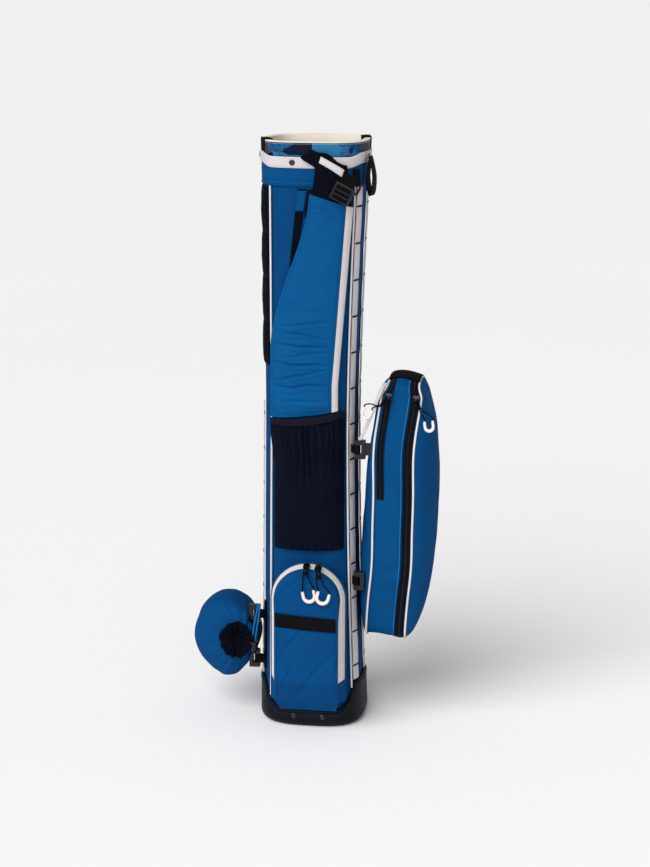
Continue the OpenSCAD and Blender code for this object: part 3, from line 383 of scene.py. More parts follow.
def lathe(name, profile, mat, frame_to, sides=32):
    """A turned piece: profile is (radius, height) from the bottom's middle to the top's."""
    rows = [[frame_to @ Vector((r * cosd(360 * i / sides), r * sind(360 * i / sides), h))
             for i in range(sides)]
            for r, h in profile[1:-1]]
    poles = tuple(frame_to @ Vector((0, 0, h)) for h in (profile[0][1], profile[-1][1]))
    return surface(name, rows, mat, wrap=True, poles=poles, sharp=35)


def place(obj, body, slot, *nodes):
    """obj rides on a body and stands for the CAD nodes; slot is not used."""
    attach(obj, body)
    if nodes:
        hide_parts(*nodes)
    return obj


def sew(name, paths, mat, body, slot, pitch=4.0, r=0.38):
    """Rows of stitches that ride on a body."""
    place(stitches(name, paths, mat, pitch, r), body, slot)


# ---- materials ----
def srgb(r, g, b):
    """A colour given in sRGB from 0 to 255, as linear RGBA."""
    def linear(c):
        return c / 12.92 if c <= 0.04045 else ((c + 0.055) / 1.055) ** 2.4

    return (*[linear(c / 255) for c in (r, g, b)], 1)


def add(tree, kind, props=None, **inputs):
    """A node with its properties and inputs set; an input that is a socket is linked."""
    node = tree.nodes.new(kind)
    for key, value in (props or {}).items():
        setattr(node, key, value)
    for key, value in inputs.items():
        socket = node.inputs[int(key[2:])] if key.startswith("in") and key[2:].isdigit() else node.inputs[key]
        if isinstance(value, bpy.types.NodeSocket):
            tree.links.new(value, socket)
        else:
            socket.default_value = value
    return node


def calc(tree, operation, a, b=0.0):
    return add(tree, "ShaderNodeMath", {"operation": operation}, in0=a, in1=b).outputs[0]


def noisy(tree, spot, scale, detail=3.0):
    return add(tree, "ShaderNodeTexNoise", Vector=spot, Scale=scale, Detail=detail).outputs[0]


def ranged(tree, value, low, high, from_low=0.25, from_high=0.75):
    kind = add(tree, "ShaderNodeMapRange", Value=value)
    kind.inputs["From Min"].default_value, kind.inputs["From Max"].default_value = from_low, from_high
    kind.inputs["To Min"].default_value, kind.inputs["To Max"].default_value = low, high
    return kind.outputs[0]


def waves(tree, spot, direction, period, distort=0.6):
    """Stripes across a direction, one every period in millimetres."""
    props = {"wave_type": "BANDS", "bands_direction": direction}
    scale = 2 * math.pi / 20 / (period * MM)
    return add(tree, "ShaderNodeTexWave", props, Vector=spot, Scale=scale, Distortion=distort).outputs["Fac"]


def blend_colours(tree, factor, a, b, kind="MIX"):
    node = add(tree, "ShaderNodeMixRGB", {"blend_type": kind})
    for socket, value in zip(node.inputs, (factor, a, b)):
        if isinstance(value, bpy.types.NodeSocket):
            tree.links.new(value, socket)
        else:
            socket.default_value = value
    return node.outputs[0]


def bump(tree, height, strength, distance, under=None):
    node = add(tree, "ShaderNodeBump", Height=height, Strength=strength, Distance=distance * MM)
    if under is not None:
        tree.links.new(under, node.inputs["Normal"])
    return node.outputs[0]


def new_material(name, rough, sheen=0.0, metallic=0.0, specular=0.5):
    mat = bpy.data.materials.new(name)
    mat.use_nodes = True
    shader = mat.node_tree.nodes["Principled BSDF"]
    shader.inputs["Roughness"].default_value = rough
    shader.inputs["Sheen Weight"].default_value = sheen
    shader.inputs["Sheen Roughness"].default_value = 0.4
    shader.inputs["Metallic"].default_value = metallic
    shader.inputs["Specular IOR Level"].default_value = specular
    return mat, mat.node_tree, shader


def dress(tree, shader, colour, rough, spot, height, mottle=0.1, normal=None, wear=None):
    """Gives a shader its mottled colour, with painted shade and light on its weave, its uneven roughness and
    its normal.
    """
    patch = ranged(tree, noisy(tree, spot, 30.0, 4.0), 1 - mottle, 1 + mottle)
    fine = ranged(tree, noisy(tree, spot, 700.0, 2.0), 1 - mottle * 0.6, 1 + mottle * 0.6)
    shade = calc(tree, "MULTIPLY", patch, fine)
    # Painted shade and light on the weave: its low parts are darkened, as shade between threads, and its high
    # parts a little lightened.
    if height is not None:
        shade = calc(tree, "MULTIPLY", shade, ranged(tree, height, 0.82, 1.08, 0.0, 1.0))
    painted = blend_colours(tree, 1.0, colour, shade, "MULTIPLY")
    if wear:
        edge = add(tree, "ShaderNodeNewGeometry").outputs["Pointiness"]
        painted = blend_colours(tree, ranged(tree, edge, 0.0, 0.5, 0.52, 0.62), painted, wear)
    tree.links.new(painted, shader.inputs["Base Color"])
    tree.links.new(ranged(tree, noisy(tree, spot, 55.0), rough - 0.07, rough + 0.07),
                   shader.inputs["Roughness"])
    if normal is not None:
        tree.links.new(normal, shader.inputs["Normal"])


def cloth(name, colour, thread=0.9, rough=0.8, weave=0.5, mottle=0.08, sheen=0.0, crumple=0.5, coords="UV"):
    """Plain-woven cloth: two crossing sets of threads, with a soft crumple under them."""
    mat, tree, shader = new_material(name, rough, sheen, specular=0.05)
    where = add(tree, "ShaderNodeTexCoord")
    spot, solid = where.outputs[coords], where.outputs["Object"]
    warp, weft = waves(tree, spot, "X", thread), waves(tree, spot, "Y", thread)
    over = add(tree, "ShaderNodeTexChecker", Vector=spot, Scale=1 / (thread * MM)).outputs["Fac"]
    height = calc(tree, "ADD", calc(tree, "MULTIPLY", warp, over),
                  calc(tree, "MULTIPLY", weft, calc(tree, "SUBTRACT", 1.0, over)))
    soft = bump(tree, noisy(tree, solid, 42.0, 3.0), crumple, 1.6)
    dress(tree, shader, colour, rough, solid, height, mottle, bump(tree, height, weave, 0.22, soft))
    return mat


def webbing(name, colour, rib=1.7, rough=0.75, mottle=0.1, weave=0.8, sheen=0.0):
    """Woven webbing: ribs across the tape and finer yarns along it."""
    mat, tree, shader = new_material(name, rough, sheen, specular=0.06)
    where = add(tree, "ShaderNodeTexCoord")
    spot, solid = where.outputs["UV"], where.outputs["Object"]
    ribs, yarns = waves(tree, spot, "Y", rib, 0.3), waves(tree, spot, "X", rib * 0.8, 0.3)
    height = calc(tree, "ADD", calc(tree, "MULTIPLY", ribs, 0.6), calc(tree, "MULTIPLY", yarns, 0.4))
    dress(tree, shader, colour, rough, solid, height, mottle, bump(tree, height, weave, 0.3))
    return mat


def knit(name, colour, hole_shade, rough=0.85):
    """Knitted mesh: small holes in staggered rows, painted dark as the shade seen through them, fainter
    courses across, and painted fold shade in stripes near the mouth.
    """
    mat, tree, shader = new_material(name, rough, 0.0, specular=0.05)
    where = add(tree, "ShaderNodeTexCoord")
    spot, solid = where.outputs["UV"], where.outputs["Object"]
    across, up = waves(tree, spot, "X", 2.4, 0.2), waves(tree, spot, "Y", 1.8, 0.2)
    cells = calc(tree, "MULTIPLY", across, up)
    course = waves(tree, spot, "Y", 9.0, 1.5)
    holes = ranged(tree, cells, 0.0, 1.0, 0.28, 0.55)
    yarn = blend_colours(tree, ranged(tree, course, 0.0, 0.35, 0.3, 0.9), colour, srgb(26, 38, 66))
    # The holes take a near-black colour: painted shade seen through the mesh.
    painted = blend_colours(tree, holes, hole_shade, yarn)
    # Painted fold shade: wavy upright stripes darken and lighten the yarn like shade and light on gathers,
    # only near the pocket's mouth.
    up_it = add(tree, "ShaderNodeSeparateXYZ", Vector=spot).outputs[1]
    fold = ranged(tree, waves(tree, spot, "X", 9.5, 4.0), 0.6, 1.45, 0.1, 0.9)
    folded = blend_colours(tree, 1.0, painted, fold, "MULTIPLY")
    painted = blend_colours(tree, ranged(tree, up_it, 0.0, 0.9, 0.085, 0.165), painted, folded)
    mottled = blend_colours(tree, 1.0, painted, ranged(tree, noisy(tree, solid, 25.0), 0.75, 1.25),
                            "MULTIPLY")
    tree.links.new(mottled, shader.inputs["Base Color"])
    tree.links.new(ranged(tree, cells, rough - 0.1, rough + 0.1), shader.inputs["Roughness"])
    tree.links.new(bump(tree, holes, 0.8, 0.35), shader.inputs["Normal"])
    return mat


def moulded(name, colour, rough=0.45, grain=0.25, mottle=0.05, wear=None, specular=0.5):
    """Moulded plastic with a fine grain, faint scuffs and paler edges."""
    mat, tree, shader = new_material(name, rough, specular=specular)
    solid = add(tree, "ShaderNodeTexCoord").outputs["Object"]
    stretched = add(tree, "ShaderNodeMapping", Vector=solid, Scale=(60.0, 60.0, 700.0)).outputs[0]
    scuff = noisy(tree, stretched, 1.0, 5.0)
    fine = noisy(tree, solid, 1400.0, 2.0)
    normal = bump(tree, scuff, grain * 0.4, 0.15, bump(tree, fine, grain, 0.12))
    dress(tree, shader, colour, rough, solid, None, mottle, normal, wear)
    return mat


def metal(name, colour, rough=0.35):
    mat, tree, shader = new_material(name, rough, metallic=1.0)
    solid = add(tree, "ShaderNodeTexCoord").outputs["Object"]
    brushed = add(tree, "ShaderNodeMapping", Vector=solid, Scale=(900.0, 900.0, 60.0)).outputs[0]
    dress(tree, shader, colour, rough, solid, None, 0.08,
          bump(tree, noisy(tree, brushed, 1.0, 4.0), 0.3, 0.08))
    return mat


def printed(name):
    """Cloth with a generic print: flat patches of blue, navy and grey, some filled with thin wavy lines."""
    mat, tree, shader = new_material(name, 0.7, 0.0, specular=0.08)
    where = add(tree, "ShaderNodeTexCoord")
    spot, solid = where.outputs["UV"], where.outputs["Object"]
    squeezed = add(tree, "ShaderNodeMapping", Vector=spot, Scale=(1.0, 1.8, 1.0)).outputs[0]
    patches = add(tree, "ShaderNodeTexVoronoi", {"distance": "CHEBYCHEV"}, Vector=squeezed, Scale=26.0)
    pick = add(tree, "ShaderNodeSeparateColor", Color=patches.outputs["Color"]).outputs[0]
    ramp = add(tree, "ShaderNodeValToRGB", Fac=pick)
    ramp.color_ramp.interpolation = "CONSTANT"
    inks = [(0.0, (12, 72, 120)), (0.26, (40, 108, 152)), (0.42, (10, 78, 128)), (0.62, (66, 62, 74)),
            (0.74, (9, 15, 34)), (0.86, (24, 92, 140))]
    for k, (at, ink) in enumerate(inks):
        e = ramp.color_ramp.elements[k] if k < 2 else ramp.color_ramp.elements.new(at)
        e.position, e.color = at, srgb(*ink)
    lines = waves(tree, spot, "DIAGONAL", 2.4, 16.0)
    thin = ranged(tree, lines, 0.0, 1.0, 0.6, 0.72)
    some = ranged(tree, noisy(tree, spot, 16.0, 1.0), 0.0, 1.0, 0.47, 0.5)
    inked = calc(tree, "MULTIPLY", calc(tree, "MULTIPLY", thin, some), 0.85)
    dark = blend_colours(tree, inked, ramp.outputs[0], srgb(15, 30, 62))
    blot = ranged(tree, noisy(tree, spot, 60.0, 3.0), 0.0, 1.0, 0.62, 0.64)
    painted = blend_colours(tree, calc(tree, "MULTIPLY", blot, 0.9), dark, srgb(13, 22, 44))
    weave = waves(tree, spot, "X", 0.9)
    tree.links.new(painted, shader.inputs["Base Color"])
    tree.links.new(ranged(tree, noisy(tree, solid, 50.0), 0.6, 0.78), shader.inputs["Roughness"])
    tree.links.new(bump(tree, weave, 0.4, 0.2), shader.inputs["Normal"])
    return mat


BLUE = cloth("blue_cloth", srgb(4, 72, 124))
BLUE_PAD = cloth("blue_pad_cloth", srgb(6, 80, 134), thread=1.1, crumple=0.8)
# A darker copy of the same blue cloth for the body panels: painted shade.
BLUE_PANEL_SHADED = cloth("blue_panel_shaded_cloth", srgb(3, 63, 113))
BLUE_FACE = cloth("blue_face_cloth", srgb(4, 68, 120), thread=1.1, crumple=0.8)
BLUE_THREAD = cloth("blue_thread", srgb(3, 62, 112), thread=0.5)
BLUE_CORD = webbing("blue_cord", srgb(30, 110, 172), rib=1.4)
NAVY = cloth("navy_cloth", srgb(5, 8, 18), thread=1.0, mottle=0.14, crumple=0.6)
NAVY_TAPE = webbing("navy_tape", srgb(9, 10, 20), rib=1.2, weave=0.6)
# Mesh cloth: navy yarn, with near-black painted shade in its holes.
KNIT = knit("mesh_cloth", srgb(12, 20, 42), srgb(3, 5, 14))
WEB = webbing("black_webbing", srgb(12, 10, 12))
ELASTIC = webbing("black_elastic", srgb(22, 21, 32), rib=1.3)
WHITE = webbing("white_trim", srgb(205, 198, 200), rib=1.5, mottle=0.05, weave=0.5)
WHITE_PIPING = cloth("white_piping", srgb(226, 219, 216), thread=0.8, mottle=0.04)
WHITE_THREAD = cloth("white_thread", srgb(214, 208, 206), thread=0.5, mottle=0.04)
GUSSET = cloth("white_gusset_cloth", srgb(226, 216, 208), thread=0.9, mottle=0.04, crumple=0.5)
LINING = cloth("lining_cloth", srgb(232, 222, 208), thread=1.1, mottle=0.05)
GREY_SHEET = cloth("divider_cloth", srgb(70, 76, 88), thread=1.2)
PRINT = printed("print_cloth")
BOOT = moulded("boot_plastic", srgb(4, 6, 15), rough=0.55, grain=0.5, wear=srgb(24, 30, 48), specular=0.14)
BLACK = moulded("black_plastic", srgb(7, 7, 9), rough=0.36, wear=srgb(30, 29, 32), specular=0.3)
BUCKLE = moulded("buckle_plastic", srgb(5, 6, 11), rough=0.27, grain=0.1, specular=0.42)
GRIP = moulded("white_plastic", srgb(228, 216, 207), rough=0.5, mottle=0.04)
TEETH = moulded("teeth_plastic", srgb(236, 230, 222), rough=0.35)
DARK_TEETH = moulded("dark_teeth_plastic", srgb(14, 14, 20), rough=0.4, specular=0.2)
DARK_METAL = metal("dark_metal", srgb(62, 60, 64), 0.32)
STEEL = metal("stay_metal", srgb(176, 178, 182), 0.3)


# ---- stage, light and camera ----
CAMERA_AT = Vector((0.3897, -2.7728, 1.12))
CAMERA_LOOK = Vector((0.0139, 0.0019, 0.445))
CAMERA_LENS = 78.9
CAMERA_ROLL = 0.25
ROOM_LIGHT = 0.36


def make_camera():
    data = bpy.data.cameras.new("camera")
    data.lens = CAMERA_LENS
    cam = bpy.data.objects.new("camera", data)
    scene.collection.objects.link(cam)
    turn = (CAMERA_LOOK - CAMERA_AT).to_track_quat("-Z", "Y").to_matrix().to_4x4()
    cam.matrix_world = Matrix.Translation(CAMERA_AT) @ turn @ turned(CAMERA_ROLL, "Z")
    scene.camera = cam


def make_floor():
    half = 150000
    mat, tree, shader = new_material("floor", 0.9, specular=0.1)
    solid = add(tree, "ShaderNodeTexCoord").outputs["Object"]
    shade = ranged(tree, noisy(tree, solid, 0.6), 0.985, 1.0)
    tree.links.new(blend_colours(tree, 1.0, (0.96, 0.96, 0.965, 1), shade, "MULTIPLY"),
                   shader.inputs["Base Color"])
    floor = grid("floor", lambda u, v: (mix(-half, half, u), mix(-half, half, v), -0.2), 2, 2, mat)


def make_light(name, kind, energy, at, size, look=(0, 0, 0.45)):
    data = bpy.data.lights.new(name, kind)
    data.energy = energy
    if kind == "SUN":
        data.angle = math.radians(size)
    else:
        data.shape, data.size = "DISK", size
    light = bpy.data.objects.new(name, data)
    light.location = at
    light.rotation_euler = (Vector(look) - Vector(at)).to_track_quat("-Z", "Y").to_euler()
    scene.collection.objects.link(light)


def make_world():
    world = bpy.data.worlds.new("studio")
    world.use_nodes = True
    back = world.node_tree.nodes["Background"]
    back.inputs["Color"].default_value = (1.0, 1.0, 1.0, 1)
    back.inputs["Strength"].default_value = ROOM_LIGHT
    scene.world = world


make_camera()
make_floor()
make_world()
make_light("key", "SUN", energy=2.75, at=(-1.3, -2.5, 2.9), size=50)
make_light("front_box", "AREA", energy=10, at=(0.4, -2.8, 1.2), size=1.2)
scene.view_settings.view_transform = "Standard"


# ---- the pouch's free draw cords, which come before the soft pieces ----
def pouch_cords():
    for k in (0, 1):
        route = [LOCK_AT + Vector(p) for p in (
            (-1.8 + 3.6 * k, 0, LOCK_H / 2 + 0.6), (-1.2 + 5 * k, -1, 22), (2 + 4.5 * k, 0, 42),
            (6.5 + 3 * k, 3, 66))]
        path = smooth_path(route, 24)
        obj = tube(f"pouch_draw_cord_{'ab'[k]}", path, CORD_R, BLUE_CORD, sides=10)
        place(obj, "pouch", "blue_cord", *(["pouch_cord"] if k == 0 else []))


pouch_cords()


# ---- base ----
def boot_h(a):
    s = sind(a)
    if s < 0:
        return mix(BOOT_SIDE_H, BOOT_FRONT_H, ease((-s - 0.45) / 0.5))
    return mix(BOOT_SIDE_H, BOOT_SIDE_H - 12, ease(s))


def make_boot():
    """The moulded boot: rounded foot, raised rib under the edge, rounded lip, inner wall and floor."""
    out = 0.6 + BOOT_T
    profile = [(-14, 0, 0), (-5, 0, 0), (-2.6, 0.9, 0), (-0.6, 2.6, 0), (out - 2.4, 5, 0), (out - 0.8, 8, 0),
               (out, 12, 0)]
    profile += [(out, z, f) for z, f in ((14, 0), (12, 0.35), (4, 0.8))]
    rim = [(out, -7.5), (out + 0.9, -7), (out + 0.9, -4.2), (out, -3.6), (out, -1.4), (out - 0.6, -0.3),
           (out - 1.6, 0),
           (1.6, 0), (0.9, -0.4), (0.6, -1.4)]
    n = 144

    def ring(off, z):
        return [tube_pt(360 * i / n, z(360 * i / n), off) for i in range(n)]

    rows = [ring(off, lambda a, z=z, f=f: mix(z, boot_h(a), f)) for off, z, f in profile]
    rows += [ring(off, lambda a, dz=dz: boot_h(a) + dz) for off, dz in rim]
    rows += [ring(0.6, lambda a: BOOT_FLOOR + 3), ring(-2.4, lambda a: BOOT_FLOOR),
             ring(-20, lambda a: BOOT_FLOOR)]
    poles = (Vector((0, 0, 0.0)), Vector((0, 0, BOOT_FLOOR)))
    place(surface("boot_shell", rows, BOOT, wrap=True, poles=poles, sharp=40), "bag", "boot_plastic",
          "base_boot")


def facing(p, normal):
    """A frame at p whose Z runs along normal."""
    return Matrix.Translation(p) @ Vector(normal).to_track_quat("Z", "Y").to_matrix().to_4x4()


RIVET = [(0, -5), (2, -5), (2, -0.2), (4.2, 0), (4.25, 0.7), (3.7, 1.25), (2.4, 1.55), (2.2, 1.35),
         (1.2, 1.25), (0, 1.3)]


def make_rivets():
    screws, caps = [], []

    def head(at, out):
        return lathe("head", RIVET, DARK_METAL, facing(at, out))

    for s in (-1, 1):
        for x in (-22, 22):
            screws.append(head((x, -s * front_y(x, SCREW_Z, 4.6), SCREW_Z), (0, s, 0)))
        for x in (-25, 25):
            z = CAP_Z if s < 0 else CAP_Z + TRIM_RISE
            caps.append(head((x, -s * front_y(x, CAP_Z, TRIM_OUT + 0.4), z), (0, s, 0)))
        x = lean(CAP_Z) + s * (half_w(CAP_Z) + TRIM_OUT + 0.2)
        caps.append(head((x, -18, CAP_Z + TRIM_RISE), (s, 0, 0)))
    place(joined("boot_screws", screws), "bag", "dark_metal", "base_screws")
    place(joined("cuff_rivet_caps", caps), "bag", "dark_metal", "cuff_rivets")


make_boot()
make_rivets()


# ---- body panels ----
def drape(a, z):
    """How far the body's cloth stands in or out: long soft folds, and shallow buckles that lean."""
    long_fold = 0.8 * wob(a * 0.05, z * 0.004, 3.1)
    buckle = -1.3 * max(0.0, wob(a * 0.025 + z * 0.008, z * 0.024, 8.7) - 0.12)
    return min(0.3, long_fold * 0.6 - 0.35 + buckle)


def make_panel(node, a0, a1):
    high, wide = 150, max(16, int(abs(a1 - a0) / 2.6))

    def at(u, v):
        a, z = mix(a0 + 0.5, a1 - 0.5, u), mix(PANEL_Z0, PANEL_Z1, v)
        near = min(u, 1 - u) * abs(a1 - a0)
        pucker = 0.3 * sind(z * 40) * math.exp(-near / 3.0)
        return tube_pt(a, z, drape(a, z) * ease(near / 8) + pucker * 0.6 - 0.1)

    # The panels take the darker copy of the blue cloth, as painted shade.
    place(slab(f"{node}_cloth", at, wide, high, BLUE_PANEL_SHADED, t=1.6), "bag", "blue_cloth", node)


def make_piping():
    made = []
    for a in SEAMS.values():
        path = [tube_pt(a, z, GAP + 1.5) for z in steps(boot_h(a) + 3, CUFF_Z - 1, 120)]
        made.append(tube("p", path, 1.5, WHITE_PIPING, sides=9))
    place(joined("seam_piping_cord", made), "bag", "white_trim", "seam_piping")
    lines = []
    for a in SEAMS.values():
        for side in (-3.2, 3.2):
            lines.append([tube_pt(a + side, z, 0.35) for z in steps(boot_h(a) + 4, CUFF_Z - 2, 60)])
    sew("seam_stitches", lines, BLUE_THREAD, "bag", "blue_cloth", pitch=4.5)


make_panel("front_panel", SEAMS["left"], SEAMS["right"])
make_panel("right_panel", SEAMS["right"] - 360, SEAMS["back_right"])
make_panel("back_panel", SEAMS["back_right"], SEAMS["back_left"])
make_panel("left_panel", SEAMS["back_left"], SEAMS["left"])
make_piping()


# ---- webbing rails ----
def tack_heights(top, first):
    return [top - first - TACK_STEP * k for k in range(int((top - first - 90) / TACK_STEP) + 1)]


def satin(path, up, tall, n):
    """A zigzag of thread over a short path, as one dense bar tack."""
    out = []
    for i in range(2 * n + 1):
        f = i / (2 * n)
        k = f * (len(path) - 1)
        j = min(int(k), len(path) - 2)
        out.append(path[j].lerp(path[j + 1], k - j) + up * (tall if i % 2 else -tall))
    return out


def make_rails():
    """Tape rails, sewn down at each bar tack and standing a little off the bag between tacks."""
    tapes, threads, edges = [], [], []
    for name, (a, top) in RAILS.items():
        tacks = tack_heights(CUFF_Z if name != "left" else top, 30 if name != "left" else 18)
        half = RAIL_DA[name]

        def lift(z, tacks=tacks):
            near = min(abs(z - t) for t in tacks)
            return 1.1 * ease((near - 2.5) / 12) - 0.15

        def at(u, v, a=a, top=top, lift=lift, half=half):
            z = mix(boot_h(a) + 2, top, v)
            off = GAP + 0.2 + RAIL_T + lift(z) * sind(180 * mix(0.12, 0.88, u))
            return tube_pt(mix(a - half, a + half, u), z, off)

        tapes.append(slab(name, at, 6, 220, WHITE, t=1.5))
        for z in tacks:
            path = [tube_pt(b, z, GAP + RAIL_T + 0.55) for b in steps(a - half - 0.3, a + half + 0.3, 8)]
            threads.append(tube("t", satin(path, Vector((0, 0, 1)), 1.0, 16), 0.42, WEB, sides=5))
        for side in (-half + 1.1, half - 1.1):
            edges.append([tube_pt(a + side, z, GAP + RAIL_T + 0.55)
                          for z in steps(boot_h(a) + 4, top - 2, 80)])
    place(joined("rail_tapes", tapes), "bag", "white_trim", "side_rails")
    place(joined("rail_bar_tacks", threads), "bag", "black_webbing", "rail_tacks")
    sew("rail_stitches", edges, WHITE_THREAD, "bag", "white_trim", pitch=5.0, r=0.3)


def make_hip_pad():
    """The quilted pad on the carrier's side: padded rolls between sewn channels."""
    low, high, a0, a1, rolls = CUFF_Z - 266, CUFF_Z - 3, 146, SEAMS["left"] - 5, 4

    def rise(u, v):
        roll = abs(sind(180 * rolls * v)) ** 0.5
        edge = sind(180 * mix(0.03, 0.97, u)) ** 0.4
        crease = 0.5 * wob(u * 7, v * 26, 4.0) * roll
        return 1.1 + (2.2 * roll + crease) * edge

    def at(u, v, off):
        return tube_pt(mix(a0, a1, u), mix(low, high, v), GAP + off)

    def outer(u, v):
        return at(u, v, rise(u, v))

    pad = pillow("hip_pad_quilt", outer, lambda u, v: at(u, v, 0.0), 26, 120, NAVY)
    place(pad, "bag", "navy_cloth", "hip_pad")
    rows = [[at(u, k / rolls, 1.5) for u in steps(0.04, 0.96, 20)] for k in range(1, rolls)]
    sew("hip_pad_stitches", rows, BLUE_THREAD, "bag", "navy_cloth")


make_rails()
make_hip_pad()


# ---- cuff ----
def side_rise(a):
    """How much higher the trim sits round the sides and the back than across the front."""
    return TRIM_RISE * ease((cosd(a) ** 2 - 0.35) / 0.5) if sind(a) < 0 else TRIM_RISE


def cuff_band(name, profile, mat, n=192, ripple=None, rise=None):
    """A band round the body; profile is its closed section as (off, z), outside first, anticlockwise."""
    def ring(off, z):
        spots = [360 * i / n for i in range(n)]
        return [tube_pt(a, z + (rise(a) if rise else 0), off + (ripple(a, z) if ripple else 0))
                for a in spots]

    return surface(name, [ring(off, z) for off, z in profile], mat, wrap=True, loop=True, sharp=45)


def band_profile(z0, z1, off, t, crown=0.0, n=8):
    """The section of a sewn band with rounded edges and a crowned outside."""
    outer = [(off + t + crown * sind(180 * f) - (0.4 if f in (0, 1) else 0), mix(z0, z1, f))
             for f in steps(0, 1, n)]
    return outer + [(off, z1 - 0.2), (off, z0 + 0.2)]


def around(z, off, n=150, rise=None):
    return [tube_pt(360 * i / n, z + (rise(360 * i / n) if rise else 0), off) for i in range(n + 1)]


def make_cuff():
    def soft(a, z):
        return 0.25 * wob(a * 0.06, z * 0.05, 2.0)

    def slack(a, z):
        return 0.4 * wob(a * 0.08, z * 0.03, 6.0) - 0.1

    def rolled(a, z):
        return 0.12 * wob(a * 0.15, z * 0.03, 1.0)

    cover = band_profile(TRIM_Z1 + 0.3, BAG_H - 2.4, -0.6, 1.6, 0.5)
    place(cuff_band("cuff_print", cover, PRINT, ripple=soft), "bag", "print_cloth", "cuff_cover")
    trim = band_profile(TRIM_Z0, TRIM_Z1, TRIM_OFF, TRIM_OUT - TRIM_OFF, 0.4)
    place(cuff_band("cuff_trim_band", trim, WHITE, ripple=soft, rise=side_rise), "bag", "white_trim",
          "cuff_trim")
    hem = [(SKIRT_OFF + out, CUFF_Z + up) for out, up in ((1.3, 0), (1.7, 1), (1.75, 4.5), (1.3, 5.4))]
    up = [mix(CUFF_Z + 6.5, TRIM_Z1 - 1, f) for f in steps(0, 1, 8)]
    skirt = hem + [(SKIRT_OFF + 1.35 + 0.3 * sind(180 * f), z) for f, z in zip(steps(0, 1, 8), up)]
    skirt += [(SKIRT_OFF, TRIM_Z1 - 1), (SKIRT_OFF, CUFF_Z + 0.2)]
    place(cuff_band("cuff_skirt_cloth", skirt, BLUE, ripple=slack), "bag", "blue_cloth", "cuff_skirt")
    rim = [(1.0, BAG_H - 2.0), (1.3, BAG_H - 1.2), (1.0, BAG_H - 0.3), (0, BAG_H), (-4.2, BAG_H),
           (-7.6, BAG_H - 0.4),
           (-8.5, BAG_H - 1.6), (-8.6, BAG_H - 16), (-8.7, CUFF_Z + 22), (-7.4, CUFF_Z + 21)]
    rim += [(-7.3, BAG_H - 3), (-6, BAG_H - 2.1)]
    lining = cuff_band("cuff_lining_cloth", rim, LINING, ripple=rolled)
    place(lining, "bag", "lining_cloth", "cuff_lining")
    white = [around(TRIM_Z0 + k, TRIM_OUT + 0.4, rise=side_rise) for k in (2, 6, 10, 14)]
    white.append(around(BAG_H - 3.8, 1.4))
    sew("cuff_stitches", white, WHITE_THREAD, "bag", "white_trim", r=0.3)
    blue = [around(CUFF_Z + 3, SKIRT_OFF + 1.9), around(CUFF_Z + 8.5, SKIRT_OFF + 1.6)]
    sew("cuff_hem_stitches", blue, BLUE_THREAD, "bag", "blue_cloth")


def make_rim_tabs():
    """Webbing folded over the rim, with its end tucked under the trim."""
    made, rows = [], []
    for a0, a1 in ((190, 216), (4, 30)):
        path = [(2.2, TRIM_Z1 + 0.5), (2.2, BAG_H - 12), (2.3, BAG_H - 2), (1.6, BAG_H + 1.2),
                (-0.4, BAG_H + 1.7),
                (-7.4, BAG_H + 1.7), (-9.6, BAG_H + 1.0), (-10.2, BAG_H - 1.5), (-10.2, BAG_H - 30)]
        route = smooth_path([(x, 0, z) for x, z in path], 40)

        def at(u, v, a0=a0, a1=a1, route=route):
            p = route[min(40, int(round(v * 40)))]
            return tube_pt(mix(a0, a1, u), p.z, p.x)

        made.append(slab("tab", at, 14, 40, WEB, t=1.3))
        for a in (a0 + 1.5, a1 - 1.5):
            rows.append([tube_pt(a, p.z, p.x + 0.2) for p in route[:16]])
    place(joined("rim_tab_webbing", made), "bag", "black_webbing", "rim_tabs")
    sew("rim_tab_stitches", rows, NAVY_TAPE, "bag", "black_webbing", pitch=3.5)


RING_X, RING_Z = TUBE_W / 2 - 11, TRIM_Z0 - 22
RING_AT = Vector((RING_X, front_y(RING_X, RING_Z, TRIM_OUT + 3.2), RING_Z))
RING_FRAME = Matrix.Translation(RING_AT) @ turned(42, "Z")


def make_cuff_loops():
    rx, rz, wide = 6, 29, 18
    x0 = half_w(CAP_Z) + TRIM_OUT + rx + 0.5

    def towel(u, v):
        a = 360 * v
        squeeze = 1 - 0.5 * sind(a) if sind(a) > 0 else 1
        twist = 2.6 * (1 - u) + 1.4 * sind(a) * u
        x = x0 + (rx - 0.3) * cosd(a) * squeeze - twist
        return (x, -24 - wide * (1 - u), TRIM_Z1 - rz + (rz - 0.3) * sind(a))

    loop = thicken(grid("towel", towel, 8, 72, WEB, loop=True), 2.2)
    wrap_path = [(0, -0.6, 21), (0, -0.9, 9), (0, -1.8, 3), (0, -2.7, 0.4), (0, -2.2, -1.6), (0, 0, -2.6),
                 (0, 2.2, -1.6),
                 (0, 2.4, 0.6), (0, 1.2, 3), (0, 0.9, 9), (0, 0.8, 21)]
    path = smooth_path(wrap_path, 40)

    def tab(u, v):
        return RING_FRAME @ (path[round(v * 40)] + Vector((mix(-5, 5, u), 0, 0)))

    tab_web = slab("tab", tab, 6, 40, WEB, t=1.1)
    place(joined("cuff_webbing_loops", [loop, tab_web]), "bag", "black_webbing", "cuff_loops")


make_cuff()
make_rim_tabs()
make_cuff_loops()


